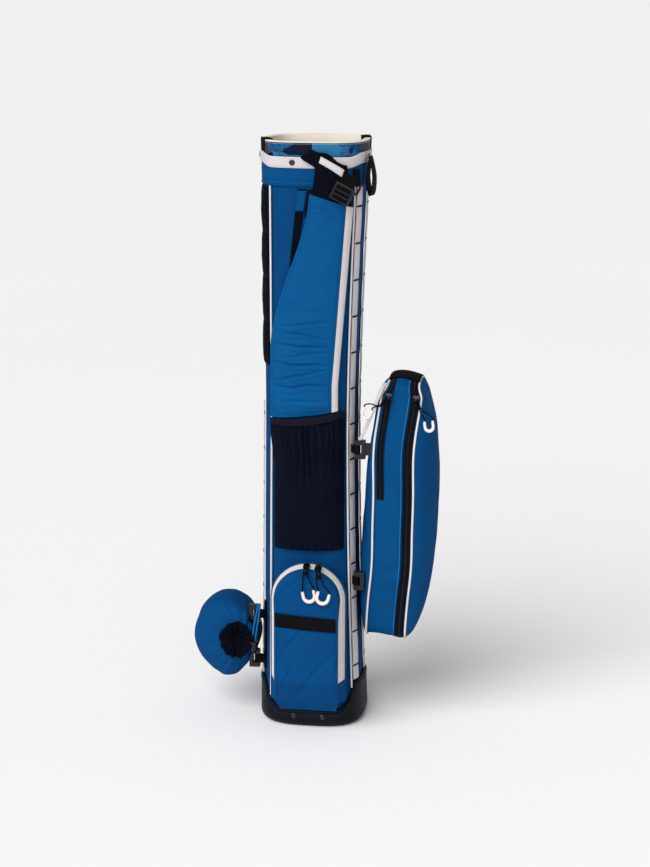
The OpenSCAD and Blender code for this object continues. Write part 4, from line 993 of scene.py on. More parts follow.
# ---- divider inside the mouth ----
def make_divider():
    z0 = BAG_H - 18
    x2 = half_w(z0) - 8.5 - 3

    def at(u, v):
        a = 360 * u
        x = mix(-x2, x2, v)
        r = 8 * (0.72 + 0.28 * ease(min(v, 1 - v) * 14)) - 0.35 * abs(wob(v * 30, u * 3, 2.0))
        return (lean(z0) + x, r * sind(a), z0 + r * cosd(a))

    sleeve = grid("divider_sleeve_pad", at, 28, 70, LINING, wrap=True,
                  poles=(Vector((lean(z0) - x2, 0, z0)), Vector((lean(z0) + x2, 0, z0))))
    place(sleeve, "bag", "lining_cloth", "divider_sleeve")
    half = TUBE_W / 2 - 21 - 4 - 3
    top, low = z0 - 8.4, BOOT_FLOOR + 6

    def hang(u, v):
        z = mix(low, top, v)
        wave = 1.6 * sind(220 * u + 40 * v) * (1 - v) ** 0.5
        return (mix(-half, half, u) + lean(z) * 0.5, -0.6 + wave, z)

    cloth_sheet = slab("divider_hanging_sheet", hang, 24, 60, GREY_SHEET, t=1.2)
    place(cloth_sheet, "bag", "navy_cloth", "divider_sheet")


make_divider()


# ---- strap tail, mesh pocket and its elastic ----
def tail_pt(f, s, off):
    x = mix(-11, -25, f) + s * mix(6.5, 4.6, f)
    z = mix(CUFF_Z - 4, CUFF_Z - 116, f)
    return Vector((x, front_y(x, z, off), z))


def make_strap_tail():
    def tape(u, v):
        return tail_pt(1 - v, 2 * u - 1, GAP + 1.4 + 0.3 * wob(u * 2, v * 9, 5))

    def holder(u, v):
        return tail_pt(mix(0.28, 0.02, v), 2.2 * u - 1.1, GAP + 2.9)

    def under(u, v):
        return tail_pt(mix(0.36, 0.0, v), 1.35 + 2.4 * u, GAP + 1.5)

    place(slab("strap_tail_tape", tape, 8, 60, NAVY, t=1.1), "bag", "navy_cloth", "strap_tail")
    place(slab("strap_tail_holder", holder, 8, 16, BLUE, t=1.0), "bag", "blue_cloth", "strap_tail_sleeve")
    place(slab("strap_under_webbing", under, 8, 24, WEB, t=1.1), "bag", "black_webbing")
    rows = [[tail_pt(mix(0.27, 0.03, v), s, GAP + 3.1) for v in steps(0, 1, 12)] for s in (-1.0, 1.0)]
    sew("strap_tail_stitches", rows, BLUE_THREAD, "bag", "blue_cloth")


def mesh_top_at(x):
    """The height of the pocket's mouth, which rises to the right."""
    return MESH_TOP + MESH_RISE * clamp((x - MESH_LEFT + 8) / 116) ** 1.6


def mesh_out(u, v):
    return MESH_BULGE * sind(180 * u) ** 0.55 * sind(180 * min(1, 0.04 + 0.62 * v)) ** 0.6


def make_mesh_pocket():
    def at(u, v):
        x = mix(mix(MESH_LEFT - 2, MESH_LEFT - 8, ease((v - 0.7) / 0.28)), MESH_RIGHT, u)
        z = mix(MESH_LOW - 3, mesh_top_at(x) - BAND_H - 0.4, v)
        side = sind(180 * u) ** 0.5 if 0 < u < 1 else 0
        folds = sind(360 * (10 * u + 0.7 * wob(u * 6, v * 1.2, 1.0)))
        folds += 0.5 * sind(360 * (19 * u + wob(u * 9, 4.0)))
        gather = 2.2 * folds * ease((v - 0.25) / 0.7) * side * (0.6 + 0.6 * wob(u * 5, 9.0))
        low = 0.8 * sind(360 * 9 * u) * ease((0.14 - v) / 0.14) * side
        slack = 1.6 * wob(u * 4, v * 5, 7.0) * side
        puff = mesh_out(clamp(u), v) if 0 < u < 1 else 0
        over = 3.4 * ease((MESH_LEFT + 2 - x) / 3) * ease((v - 0.66) / 0.1)
        off = GAP + 1.4 + max(puff, over) + gather * 0.8 + low + slack * 0.8 - 0.4
        return Vector((x, front_y(x, z, off), z))

    net = slab("mesh_pocket_net", at, 110, 80, KNIT, t=0.9)
    place(net, "bag", "mesh_cloth", "mesh_pocket")

    def elastic(u, v):
        x = mix(MESH_LEFT - 8, MESH_RIGHT + 1, u)
        z = mesh_top_at(x) - BAND_H * (1 - v)
        across = (x - MESH_LEFT) / (MESH_RIGHT - MESH_LEFT)
        b = mesh_out(clamp(across), 1) if 0 < across < 1 else 0
        shirr = 0.35 * sind(360 * 30 * u) * sind(180 * v) + 0.5 * sind(180 * v)
        return Vector((x, front_y(x, z, 2.2 + max(b, 3.4) + shirr), z))

    place(slab("mesh_elastic_band", elastic, 180, 8, ELASTIC, t=1.9), "bag", "black_webbing", "mesh_elastic")


make_strap_tail()
make_mesh_pocket()


# ---- zipped front pocket ----
def arch_path(r, low, n=8):
    """The arch in X and Z with its outward directions, from its low left end to its low right end."""
    left = [((ARCH_X - r, z), (-1, 0)) for z in steps(low, ARCH_Z, n * 2)[:-1]]
    top = [((ARCH_X + r * cosd(a), ARCH_Z + r * sind(a)), (cosd(a), sind(a))) for a in steps(180, 0, n * 6)]
    right = [((ARCH_X + r, z), (1, 0)) for z in steps(ARCH_Z, low, n * 2)[1:]]
    return left + top + right


def gusset_pt(i, share, off, low, n=8):
    """A point on the flared gusset: i along the arch, share from the rear edge to the front edge."""
    (x, z), (nx, nz) = arch_path(ARCH_R - ARCH_FLARE * share, low, n)[i]
    reach = off * math.cos(FLARE_A)
    return Vector((x + nx * reach, mix(ZIP_Y0, ZIP_Y1, share) - off * math.sin(FLARE_A), z + nz * reach))


def make_front_pocket():
    count = len(arch_path(1, 0)) - 1

    def split(i):
        """The share of the gusset that is white tape: half round the top, all of it at the legs' ends."""
        return mix(1, 0.5, ease((arch_path(ARCH_R, GUSSET_LOW)[i][0][1] - 165) / 80))

    def zip_cloth(u, v):
        i = round(u * count)
        share = split(i) * (1 - v)
        ripple = 0.3 * wob(i * 0.5, v * 2, 3.0) + 0.5 * sind(180 * v)
        return gusset_pt(i, share, ripple - 0.1, GUSSET_LOW)

    def lip_cloth(u, v):
        i = round(u * count)
        share = mix(1, min(split(i), 0.985), v)
        return gusset_pt(i, share, 0.25 * wob(i * 0.4, v * 2, 8.0) + 0.9 * sind(180 * v) ** 0.5, GUSSET_LOW)

    place(slab("pocket_zip_cloth", zip_cloth, count, 16, GUSSET, t=1.4), "bag", "white_trim",
          "pocket_zip_gusset")
    place(slab("pocket_zip_lip", lip_cloth, count, 12, BLUE, t=1.3), "bag", "blue_cloth")
    middle = [gusset_pt(i, 0.5, 0.9, GUSSET_LOW + 3) for i in range(count + 1)]
    teeth = []
    up_y = Vector((0, -math.sin(FLARE_A), 0))
    for k, (p, t) in enumerate(at_length(middle, 1.25)):
        out = Vector((p.x - ARCH_X, 0, max(0.0, p.z - ARCH_Z))).normalized() * math.cos(FLARE_A) + up_y
        across = t.cross(out).normalized()
        teeth.append((p + across * (0.5 if k % 2 else -0.5), t, across, out.normalized()))
    place(blocks("pocket_zip_teeth_row", teeth, (0.9, 1.5, 1.1), TEETH), "bag", "teeth_plastic",
          "pocket_zip_teeth")

    def rear(u, v):
        (x, z), (nx, nz) = arch_path(ARCH_R, REAR_LOW)[round(u * count)]
        y0 = min(-40, front_y(x, z, 1.2) + 0.6)
        puff = 0.8 * sind(180 * v) + 0.5 * wob(u * 20, v * 3, 9.0) * sind(180 * v)
        return Vector((x + nx * puff, mix(ZIP_Y0 + 1, y0, v), z + nz * puff))

    place(slab("pocket_rear_cloth", rear, count, 10, BLUE, t=1.5), "bag", "blue_cloth", "pocket_rear_gusset")
    edge = [gusset_pt(i, 1.02, 0.3, REAR_LOW) for i in range(count + 1)]
    edge = [p + Vector((0, face_back(p.z) - face_back(GUSSET_LOW), 0)) for p in edge]
    place(tube("pocket_face_piping", edge, 1.1, BLUE, sides=8), "bag", "blue_cloth")
    seam = [gusset_pt(i, -0.03, 0.6, REAR_LOW) for i in range(count + 1)]
    place(tube("pocket_rear_piping", seam, 1.0, BLUE, sides=8), "bag", "blue_cloth")
    rows = [[gusset_pt(i, s, 0.35, GUSSET_LOW) for i in range(count + 1)] for s in (0.07, 0.36)]
    sew("pocket_zip_stitches", rows, WHITE_THREAD, "bag", "white_trim", r=0.3)


def face_half(z):
    if z > ARCH_Z:
        return math.sqrt(max(0.01, FACE_R**2 - (z - ARCH_Z) ** 2))
    return FACE_R + max(0.0, GUSSET_LOW - z) * 0.05 - 7 * ease((58 - z) / 30)


def face_back(z):
    """The Y of the face's back: it slopes in under the zip, down to the boot."""
    return ZIP_Y1 - 0.3 + max(0.0, GUSSET_LOW - z) * 0.42 + 3.5 * ease((52 - z) / 24)


def face_puff(u, z):
    ends = ease((z - BOOT_FRONT_H) / 60) * ease((ARCH_Z + FACE_R - z) / 40)
    return FACE_PUFF * math.sqrt(max(0, 1 - u * u)) * ends


def face_creases(x, z):
    """Soft diagonal creases under the webbing, and slack cloth above it."""
    slant = wob((x * 0.8 + z) * 0.035, (x - z) * 0.009, 2.2)
    fold = -2.6 * max(0.0, 1 - abs(wob((x - 0.7 * z) * 0.03 + 5, (x + z) * 0.006, 7.4)) * 7)
    ends = ease((z - 30) / 40) * ease((FACE_R + ARCH_Z - z) / 25)
    return (4.2 * slant + fold) * ends * (1 if z < WEB_Z - 10 else 0.3)


def make_pocket_face():
    z0, z1 = BOOT_FRONT_H + 3, ARCH_Z + FACE_R - 0.8

    def spot(u, v, front):
        z = z0 + (z1 - z0) * (v if v < 0.75 else 0.75 + 0.25 * sind(90 * (v - 0.75) / 0.25))
        s = sind(90 * (2 * u - 1))
        y = face_back(z)
        if front:
            crease = face_creases(s * 45, z) * math.sqrt(max(0, 1 - s * s))
            press = 0.9 * math.exp(-(((z - WEB_Z + 3 * s) / 9) ** 2)) * math.sqrt(max(0, 1 - s * s))
            y -= 1.2 + face_puff(s, z) + crease - press
        return Vector((ARCH_X + s * face_half(z), y, z))

    sides = (lambda u, v: spot(u, v, True)), (lambda u, v: spot(u, v, False))
    face = pillow("pocket_face_cloth", *sides, 48, 90, BLUE_FACE)
    place(face, "bag", "blue_cloth", "pocket_front")

    ends = []
    for m in (-1, 1):
        def side(u, v, m=m):
            b = 1 - u if m > 0 else u
            z = mix(REAR_LOW, GUSSET_LOW - 0.5, v)
            x = ARCH_R - ARCH_FLARE * b - (GUSSET_LOW - z) * 0.03 * b
            return Vector((ARCH_X + m * x, mix(ZIP_Y0 - 0.2, face_back(z) + 0.4, b), z))

        ends.append(slab("end", side, 10, 16, BLUE, t=1.6))
    place(joined("pocket_gusset_ends", ends), "bag", "blue_cloth")

    def band(u, v):
        s = mix(-0.985, 0.95, u)
        z = WEB_Z + (v - 0.5) * WEB_H - 3 * s
        roll = 0.25 * sind(180 * v) + 0.4 * wob(u * 4, v, 3.0)
        y = face_back(z) - 3.4 - FACE_PUFF * math.sqrt(1 - s * s) - roll * math.sqrt(1 - s * s)
        return Vector((ARCH_X + s * face_half(z), y, z))

    place(slab("pocket_webbing_band", band, 40, 8, WEB, t=1.4), "bag", "black_webbing", "pocket_webbing")
    rows = [[band(u, v) + Vector((0, -0.25, 0)) for u in steps(0.03, 0.97, 40)] for v in (0.1, 0.9)]
    line = [(0.12, v) for v in steps(0.1, 0.8, 20)]
    line += [(0.12 + 0.76 * k / 16, 0.8 + 0.14 * sind(180 * k / 16)) for k in range(17)]
    line += [(0.88, v) for v in steps(0.8, 0.1, 20)]
    inset = [spot(u, v, True) + Vector((0, -0.3, 0)) for u, v in line]
    sew("pocket_webbing_stitches", rows, NAVY_TAPE, "bag", "black_webbing", pitch=3.5)
    sew("pocket_face_stitches", [inset], BLUE_THREAD, "bag", "blue_cloth")


make_front_pocket()
make_pocket_face()


# ---- zip pulls ----
GRIP_ARM, EYE_UP = 8, 6.6


def knot_r(f):
    return 1.2 + 1.5 * sind(180 * mix(0.1, 0.9, f))


def make_pull(name, body, node, place_in, routes, end, tilt, cord_r, grip_r, grip_t):
    """The two cords of a pull with their knot-like sleeve, and the moulded grip at their ends."""
    pair = [smooth_path(r, 36) for r in routes]
    cords = [tube("c", [place_in @ p for p in path], cord_r, WEB, sides=8) for path in pair]
    middle = [place_in @ ((a + b) / 2) for a, b in zip(*pair)]
    for first in (11, 17):
        knot = middle[first : first + 4]
        cords.append(tube("k", smooth_path(knot, 12), knot_r, WEB, sides=10))
    place(joined(f"{name}_cords", cords), body, "black_webbing", node)
    hang = place_in @ Matrix.Translation(end) @ turned(tilt, "Y")
    arms = [(-grip_r, 0, 0.6), (-grip_r, 0, -GRIP_ARM * 0.5), (-grip_r, 0, -GRIP_ARM)]
    bend = [(grip_r * cosd(a), 0, -GRIP_ARM + grip_r * sind(a)) for a in steps(200, 340, 7)]
    path = arms + bend + [(-x, y, z) for x, y, z in reversed(arms)]
    shape = [hang @ p for p in smooth_path(path, 72)]

    def thick(f):
        ribs = 0.14 * sind(360 * 22 * f) if 0.2 < f < 0.8 else 0
        return grip_t * (0.9 + 0.2 * sind(180 * f) ** 2) + ribs - 0.5 * ease((abs(f - 0.5) - 0.44) / 0.06)

    across = hang.to_3x3() @ Vector((0, 1, 0))
    place(tube(f"{name}_grip", shape, thick, GRIP, sides=14, flat=0.95, ref=across), body, "white_plastic")


def arm_end(end, tilt, k, grip_r):
    return Vector((end[0] + k * grip_r * cosd(tilt), end[1], end[2] - k * grip_r * sind(tilt)))


def front_pulls():
    middle = Vector((ARCH_X, (ZIP_Y0 + ZIP_Y1) / 2, ARCH_Z))
    reach = ARCH_R - ARCH_FLARE / 2 + 2
    pulls = (("left", "a", -1, (5, -20.6, -37), -12), ("right", "b", 17, (11, -27.5, -34), 14))
    for side, letter, a, end, tilt in pulls:
        here = Matrix.Translation(middle) @ turned(a, "Y")
        here = here @ Matrix.Translation((0, 0, reach + EYE_UP)) @ turned(-a, "Y")
        routes = []
        for k in (-1, 1):
            p, f = arm_end(end, tilt, k, 8.5), end[1]
            routes.append([(0, 0, 0), (k * 0.5, -2, 0), (k * 0.9, -5, -0.6),
                           (k * 1.2 + p.x * 0.1, f * 0.55, -4),
                           (k * 1.6 + p.x * 0.2, f * 0.85, -10), (mix(k * 2, p.x, 0.45), f, -19),
                           (mix(k * 2, p.x, 0.8), f, mix(-19, p.z, 0.55)), (p.x, f, p.z + 5),
                           (p.x, f, p.z - 1)])
        name, body = f"pocket_pull_{side}", f"pocket_pull_{letter}"
        make_pull(name, body, name, here, routes, end, tilt, 1.1, 8.5, 2.6)


SIDE_FRAME = Matrix.Translation(SIDE_AT) @ turned(SIDE_TILT, "Y")


def zip_frame(x, s):
    """X across the gusset, -Y off it and Z along its zip."""
    turn = Matrix.Rotation(-math.asin(s / ZIP_CURVE_R), 4, "X")
    return (SIDE_FRAME @ Matrix.Translation((x, ZIP_CURVE_R - SIDE_D2, 0)) @ turn
            @ Matrix.Translation((0, -ZIP_CURVE_R - 2.7, 0)))


def side_pulls():
    pulls = (("short", "a", ZIP_SHORT, (-27, -10, -20), 20), ("long", "b", ZIP_LONG, (22, -10, -30), -12))
    for side, letter, z, end, tilt in pulls:
        here = zip_frame((z[0] + z[1]) / 2, SLIDER_S) @ Matrix.Translation((0, -EYE_UP, 0))
        routes = []
        for k in (-1, 1):
            p, f = arm_end(end, tilt, k, 6), end[1]
            routes.append([(k * 0.6, 0, 0), (k * 2.75, -0.2, 0), (k * 3.9, -2, -2),
                           (k * 2.6 + end[0] * 0.14, -5, -6),
                           (k * 1.6 + end[0] * 0.4, f, -14), (mix(k * 2, p.x, 0.7), f, mix(0, p.z, 0.66)),
                           (p.x, f, p.z + 4), (p.x, f, p.z - 1)])
        name, body = f"side_pull_{side}", f"side_pull_{letter}"
        make_pull(name, body, name, here, routes, end, tilt, 1.0, 6, 2.3)


front_pulls()
side_pulls()


# ---- strap ----
def cuff_step(z):
    """How far the strap steps out over the cuff's trim."""
    return TRIM_OUT * ease((z - (CUFF_Z - 34)) / 26)


def pad_left(f):
    return mix(1, 18 - TUBE_W / 2, ease(1.35 * f + 0.04))


def pad_wide(f):
    return mix(62, 119 - TUBE_W / 2, min(1, 1.15 * f)) - pad_left(f)


def pad_pt(f, u, off):
    """A point on the pad: f from 0 at the top to 1 at the bottom, u from its left to its right."""
    f = clamp(f)
    x = pad_left(f) + u * pad_wide(f)
    z = mix(PAD_Z1 - 20 * u + 10, mesh_top_at(x) + 2, f)
    return Vector((x, front_y(x, z, STRAP_LIFT + cuff_step(z) + off), z))


def crease(f, u, at, slope, deep, wide):
    """A fold line across the pad, at its share of the length and with a slope."""
    line = f - at - slope * (u - 0.5) - 0.012 * wob(u * 3, at * 40)
    return -deep * math.exp(-((line / wide) ** 2)) + 0.5 * deep * math.exp(-(((line - 2 * wide) / wide) ** 2))


CREASES = ((0.50, 0.05, 1.2, 0.012), (0.57, -0.03, 2.2, 0.007), (0.62, 0.05, 2.6, 0.006),
           (0.67, 0.02, 3.4, 0.007),
           (0.71, -0.03, 2.0, 0.006), (0.76, 0.02, 3.6, 0.007), (0.81, -0.05, 2.6, 0.006),
           (0.86, 0.01, 3.8, 0.008),
           (0.93, 0.02, 2.4, 0.008))


def make_strap_pad():
    def seam_u(f):
        return 1 - EDGE_W / pad_wide(f)

    def outer(u, v):
        f = 1 - v
        crown = sind(180 * mix(0.06, 0.94, u)) ** 0.5
        ends = ease(v * 22) * ease((1 - v) * 30)
        fold = sum(crease(f, u, *c) for c in CREASES) * sind(180 * clamp(u)) ** 0.6
        channel = -1.4 * math.exp(-(((f - 0.055) / 0.008) ** 2))
        soft = 0.5 * wob(u * 3, f * 9, 1.5)
        rise = (PAD_T - 2.9) * crown * mix(0.45, 1, ends)
        return pad_pt(f, u * seam_u(f), 1.4 + rise + (fold + channel + soft) * crown * ends)

    def back(u, v):
        return pad_pt(1 - v, u * seam_u(1 - v), 0.2)

    pad = pillow("strap_pad_body", outer, back, 44, 260, BLUE_PAD)
    place(pad, "strap", "blue_cloth", "strap_pad")

    def edge(u, v):
        f = 1 - v
        roll = 3.7 + 0.5 * sind(180 * u) - 1.2 * u * u
        return pad_pt(f, mix(seam_u(f) + 0.004, 1, u), roll + 0.25 * wob(v * 22, u, 6.0))

    def edge_back(u, v):
        return pad_pt(1 - v, mix(seam_u(1 - v) + 0.004, 1, u), 0.2)

    rim = pillow("strap_edge_tape", edge, edge_back, 10, 120, WHITE)
    place(rim, "strap", "white_trim", "strap_edge")
    rows = [[pad_pt(f, mix(seam_u(f), 1, s), 4.1) for f in steps(0.02, 0.98, 60)] for s in (0.16, 0.86)]
    sew("strap_edge_stitches", rows, WHITE_THREAD, "strap", "white_trim", r=0.3)
    proud = Vector((0, -0.2, 0))
    rows = [[outer(u, v) + proud for v in steps(0.02, 0.98, 80)] for u in (0.05, 0.955)]
    rows += [[outer(u, v) + proud for u in steps(0.06, 0.94, 30)] for v in (0.93, 0.018)]
    sew("strap_pad_stitches", rows, BLUE_THREAD, "strap", "blue_cloth")


def neck_left(f):
    return mix(-12, 9, ease(3 * f)) - 3.5 * ease((f - 0.3) / 0.7)


def neck_arch(u):
    """The neck's top edge: it rises over the trim and rolls down to its right shoulder."""
    return 6.5 * sind(180 * clamp(u / 0.8)) - 12 * ease((u - 0.55) / 0.45)


def neck_pt(f, u, off, x=None, arch=1.0):
    if x is None:
        x = mix(neck_left(f), mix(54, 60, f), u)
    else:
        u = (x - neck_left(f)) / (mix(54, 60, f) - neck_left(f))
    z = mix(TRIM_Z1 + 1 + (neck_arch(u) if arch else 3 - 4 * u), PAD_Z1 + 11.5 - 20 * u, f)
    return Vector((x, front_y(x, z, STRAP_LIFT + TRIM_OUT * 0.2 + cuff_step(z) * 0.8 + off), z))


BUCKLE_AT = Vector((48, front_y(40, CUFF_Z - 8, STRAP_LIFT + TRIM_OUT + 4.6), CUFF_Z - 8))
BUCKLE_FRAME = (Matrix.Translation(BUCKLE_AT) @ turned(4, "Z")
                @ turned(27, "Y") @ turned(90, "X"))


def across_hinge(obj, slot, *nodes):
    """Cloth at the strap's hinge, sewn to the cuff above it: its placing is baked into its mesh, and it
    stands for the CAD nodes.
    """
    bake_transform(obj)
    if nodes:
        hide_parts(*nodes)


def make_strap_neck():
    def outer(u, v):
        f = 1 - v
        edge = sind(180 * mix(0.05, 0.95, u)) ** 0.4
        soft = 0.5 * wob(u * 3, v * 5, 4.4) - 0.8 * math.exp(-(((f - 0.55 - 0.2 * u) / 0.05) ** 2))
        return neck_pt(f, u, 1.6 + 1.8 * edge + soft * 0.6 * edge)

    neck = pillow("strap_neck_cloth", outer, lambda u, v: neck_pt(1 - v, u, 0.1), 30, 40, NAVY)
    across_hinge(neck, "navy_cloth", "strap_neck")

    def band(u, v):
        f = mix(0.0, 0.25, u) + (1 - v) * 0.17
        return neck_pt(f, 0, 5.3 + 0.35 * sind(180 * v), x=mix(18, 51, u) - 3 * (1 - v), arch=0)

    across_hinge(slab("strap_neck_tape", band, 24, 6, WHITE, t=1.2), "white_trim", "strap_neck_band")
    rows = [[band(u, v) + Vector((0, -0.2, 0)) for u in steps(0.03, 0.97, 20)] for v in (0.14, 0.86)]
    across_hinge(stitches("strap_neck_stitches", rows, WHITE_THREAD, pitch=3.5, r=0.3), "white_trim")


def ribbon(name, path, wide, t, mat, across, n=60):
    """A tape along a path, with its width along across."""
    route = smooth_path(path, n)
    side = Vector(across) * wide / 2
    return slab(name, lambda u, v: route[round(v * n)] + side * (2 * u - 1), 8, n, mat, t=t)


def make_strap_webbing():
    x_axis = BUCKLE_FRAME.to_3x3() @ Vector((1, 0, 0))
    up = [BUCKLE_FRAME @ Vector(p) for p in ((0, 12.6, 3.2), (0, 16, 2.6), (0, 22, 1.9), (0, 29, 1.9))]
    over = [BUCKLE_FRAME @ Vector(p)
            for p in ((0, -12.2, 5.8), (0, -6, 6.3), (0, 0, 6.1), (0, 6, 6.3), (0, 11, 5.9))]
    made = [ribbon("up", up, 22, 1.4, WEB, x_axis), ribbon("over", over, 21, 1.3, WEB, x_axis)]
    place(joined("strap_web_tape", made), "strap", "black_webbing", "strap_webbing")
    bars = []
    for y in (-11.4, -4.2, 2.8, 10.6):
        path = [BUCKLE_FRAME @ Vector((x, y, 6.0 + 0.5 * sind(180 * (x + 14) / 28)))
                for x in steps(-13.6, 13.6, 16)]
        bars.append(tube("b", path, 1.15, BUCKLE, sides=10))
    for x in (-13.8, 13.8):
        path = [BUCKLE_FRAME @ Vector((x, y, 5.2)) for y in steps(-12, 12, 10)]
        bars.append(tube("b", path, 1.1, BUCKLE, sides=10))
    place(joined("strap_buckle_bars", bars), "strap", "black_plastic")


make_strap_pad()
make_strap_neck()
make_strap_webbing()


# ---- side pocket ----
def arc_y(s):
    """Half the pocket's depth at the height s."""
    return SIDE_D2 - ZIP_CURVE_R + math.sqrt(ZIP_CURVE_R**2 - s * s)


CAP_Y = arc_y(CAP_S)
RING_N = 168


def side_outline():
    """The pocket's outline in Y and S, anticlockwise as seen from the right, every step alike."""
    right = [Vector((arc_y(s), s, 0)) for s in steps(-CAP_S, CAP_S, 60)]
    top = [Vector((CAP_Y * cosd(a), CAP_S + 24 * sind(a), 0)) for a in steps(0, 180, 40)[1:-1]]
    left = [Vector((-p.x, p.y, 0)) for p in reversed(right)]
    low = [Vector((p.x, -p.y, 0)) for p in reversed(top)]
    path = right + top + left + low
    path.append(path[0])
    whole = runs(path)[-1]
    return [p for p, _ in at_length(path, whole / RING_N)][:RING_N]


OUTLINE = side_outline()


def side_wave(s):
    """How far the soft gusset leans along X at height s: toward the body near the top, away low down."""
    return -6 * math.exp(-(((s - 95) / 60) ** 2)) + 3 * math.exp(-(((s + 85) / 50) ** 2))


def cap_shape(x, s):
    """Where cloth at x and s comes to lie: above the sliders the pocket slumps and draws in."""
    start = SLIDER_S - 60 * clamp((x - SIDE_X1) / 12)
    middle = (SIDE_X0 + SIDE_X1) / 2
    narrow = 1 - 0.24 * ease((s - start) / (SIDE_H2 - start))
    return middle + (x - middle) * narrow, s - 0.45 * max(0.0, s - SLIDER_S)


def side_pt(i, x, scale=1.0, out=0.0):
    p = OUTLINE[i % RING_N]
    grow = 1 + out / SIDE_D2, 1 + out / SIDE_H2
    at_x, at_s = cap_shape(x, p.y * scale * grow[1])
    return SIDE_FRAME @ Vector((at_x + side_wave(p.y) * scale, p.x * scale * grow[0], at_s))


def side_run(low_s, low_a, high_a):
    """Points with outward directions, in Y and S: up the front edge and round the caps by these angles."""
    path = [(-CAP_Y * cosd(a), -CAP_S - 24 * sind(a)) for a in steps(low_a, 0, 8)[:-1]] if low_a else []
    path += [(-arc_y(s), s) for s in steps(low_s, CAP_S, 70)]
    path += [(-CAP_Y * cosd(a), CAP_S + 24 * sind(a)) for a in steps(0, high_a, 8)[1:]]
    path = [Vector(p) for p in path]
    out = []
    for i, p in enumerate(path):
        t = (path[min(i + 1, len(path) - 1)] - path[max(i - 1, 0)]).normalized()
        out.append((p, Vector((-t.y, t.x))))
    return out


def cap_bulge(x, s):
    """The gusset is fuller across the middle where it rounds the pocket's top."""
    share = clamp((x - SIDE_X0) / (SIDE_X1 - SIDE_X0)) ** 0.75
    return 9.5 * max(0.0, sind(180 * share)) ** 0.8 * ease((s - 165) / 40)


def run_pt(x, spot, off):
    p, n = spot
    off += cap_bulge(x, p.y)
    at_x, at_s = cap_shape(x, p.y + n.y * off)
    return SIDE_FRAME @ Vector((at_x + side_wave(p.y), p.x + n.x * off, at_s))


def make_side_body():
    def gusset(u, v):
        i = round(u * RING_N)
        s = OUTLINE[i % RING_N].y / SIDE_H2
        belly = 1.4 * sind(180 * v)
        fold = 2.2 * wob(i * 0.3 + v * 2, v * 1.6, 5.0) * sind(180 * v) * (0.3 + 0.7 * ease(0.5 - s))
        pucker = 0.35 * sind(360 * i / 3.0) * (1 - sind(180 * v)) ** 3
        x = mix(SIDE_X0, SIDE_X1, v)
        return side_pt(i, x, out=belly + fold + pucker - 0.4 + cap_bulge(x, OUTLINE[i % RING_N].y))

    place(slab("side_gusset_cloth", gusset, RING_N, 22, BLUE, t=1.6, wrap=True), "side_pocket", "blue_cloth",
          "side_gusset_band")


def make_side_panel(name, node, x, crown, d):
    """A crowned panel, full inside its sewn edge, with the back of its padding."""
    levels = [sind(a) for a in steps(90, 6, 26)]
    inner_levels = [0.95, 0.8, 0.6, 0.35, 0.12]

    def row(k, inside):
        rows = []
        for i in range(RING_N):
            p = OUTLINE[i]
            up = p.y * k / SIDE_H2
            puff = crown * (1 - k * k) ** 0.62 * (1 - 0.28 * up)
            soft = 2.2 * wob(p.x * k * 0.03, p.y * k * 0.018, 3.0 + d) * (1 - k)
            tuck = 0.5 * wob(i * 0.55, k * 3, 1.0) * ease((k - 0.55) / 0.3) * ease((1 - k) * 9)
            off = 1.2 + puff + soft + tuck - (1.6 if inside else 0)
            rows.append(side_pt(i, x + d * off, k * 0.985 if inside else k))
        return rows if d > 0 else rows[::-1]

    rows = [row(k, True) for k in reversed(inner_levels)] + [row(k, False) for k in levels]
    ends = (SIDE_FRAME @ Vector((x + d * (crown - 0.6), 0, 0)),
            SIDE_FRAME @ Vector((x + d * (crown + 1.2), 0, 0)))
    panel = surface(name, rows, BLUE, wrap=True, poles=ends, sharp=80)
    place(panel, "side_pocket", "blue_cloth", node)


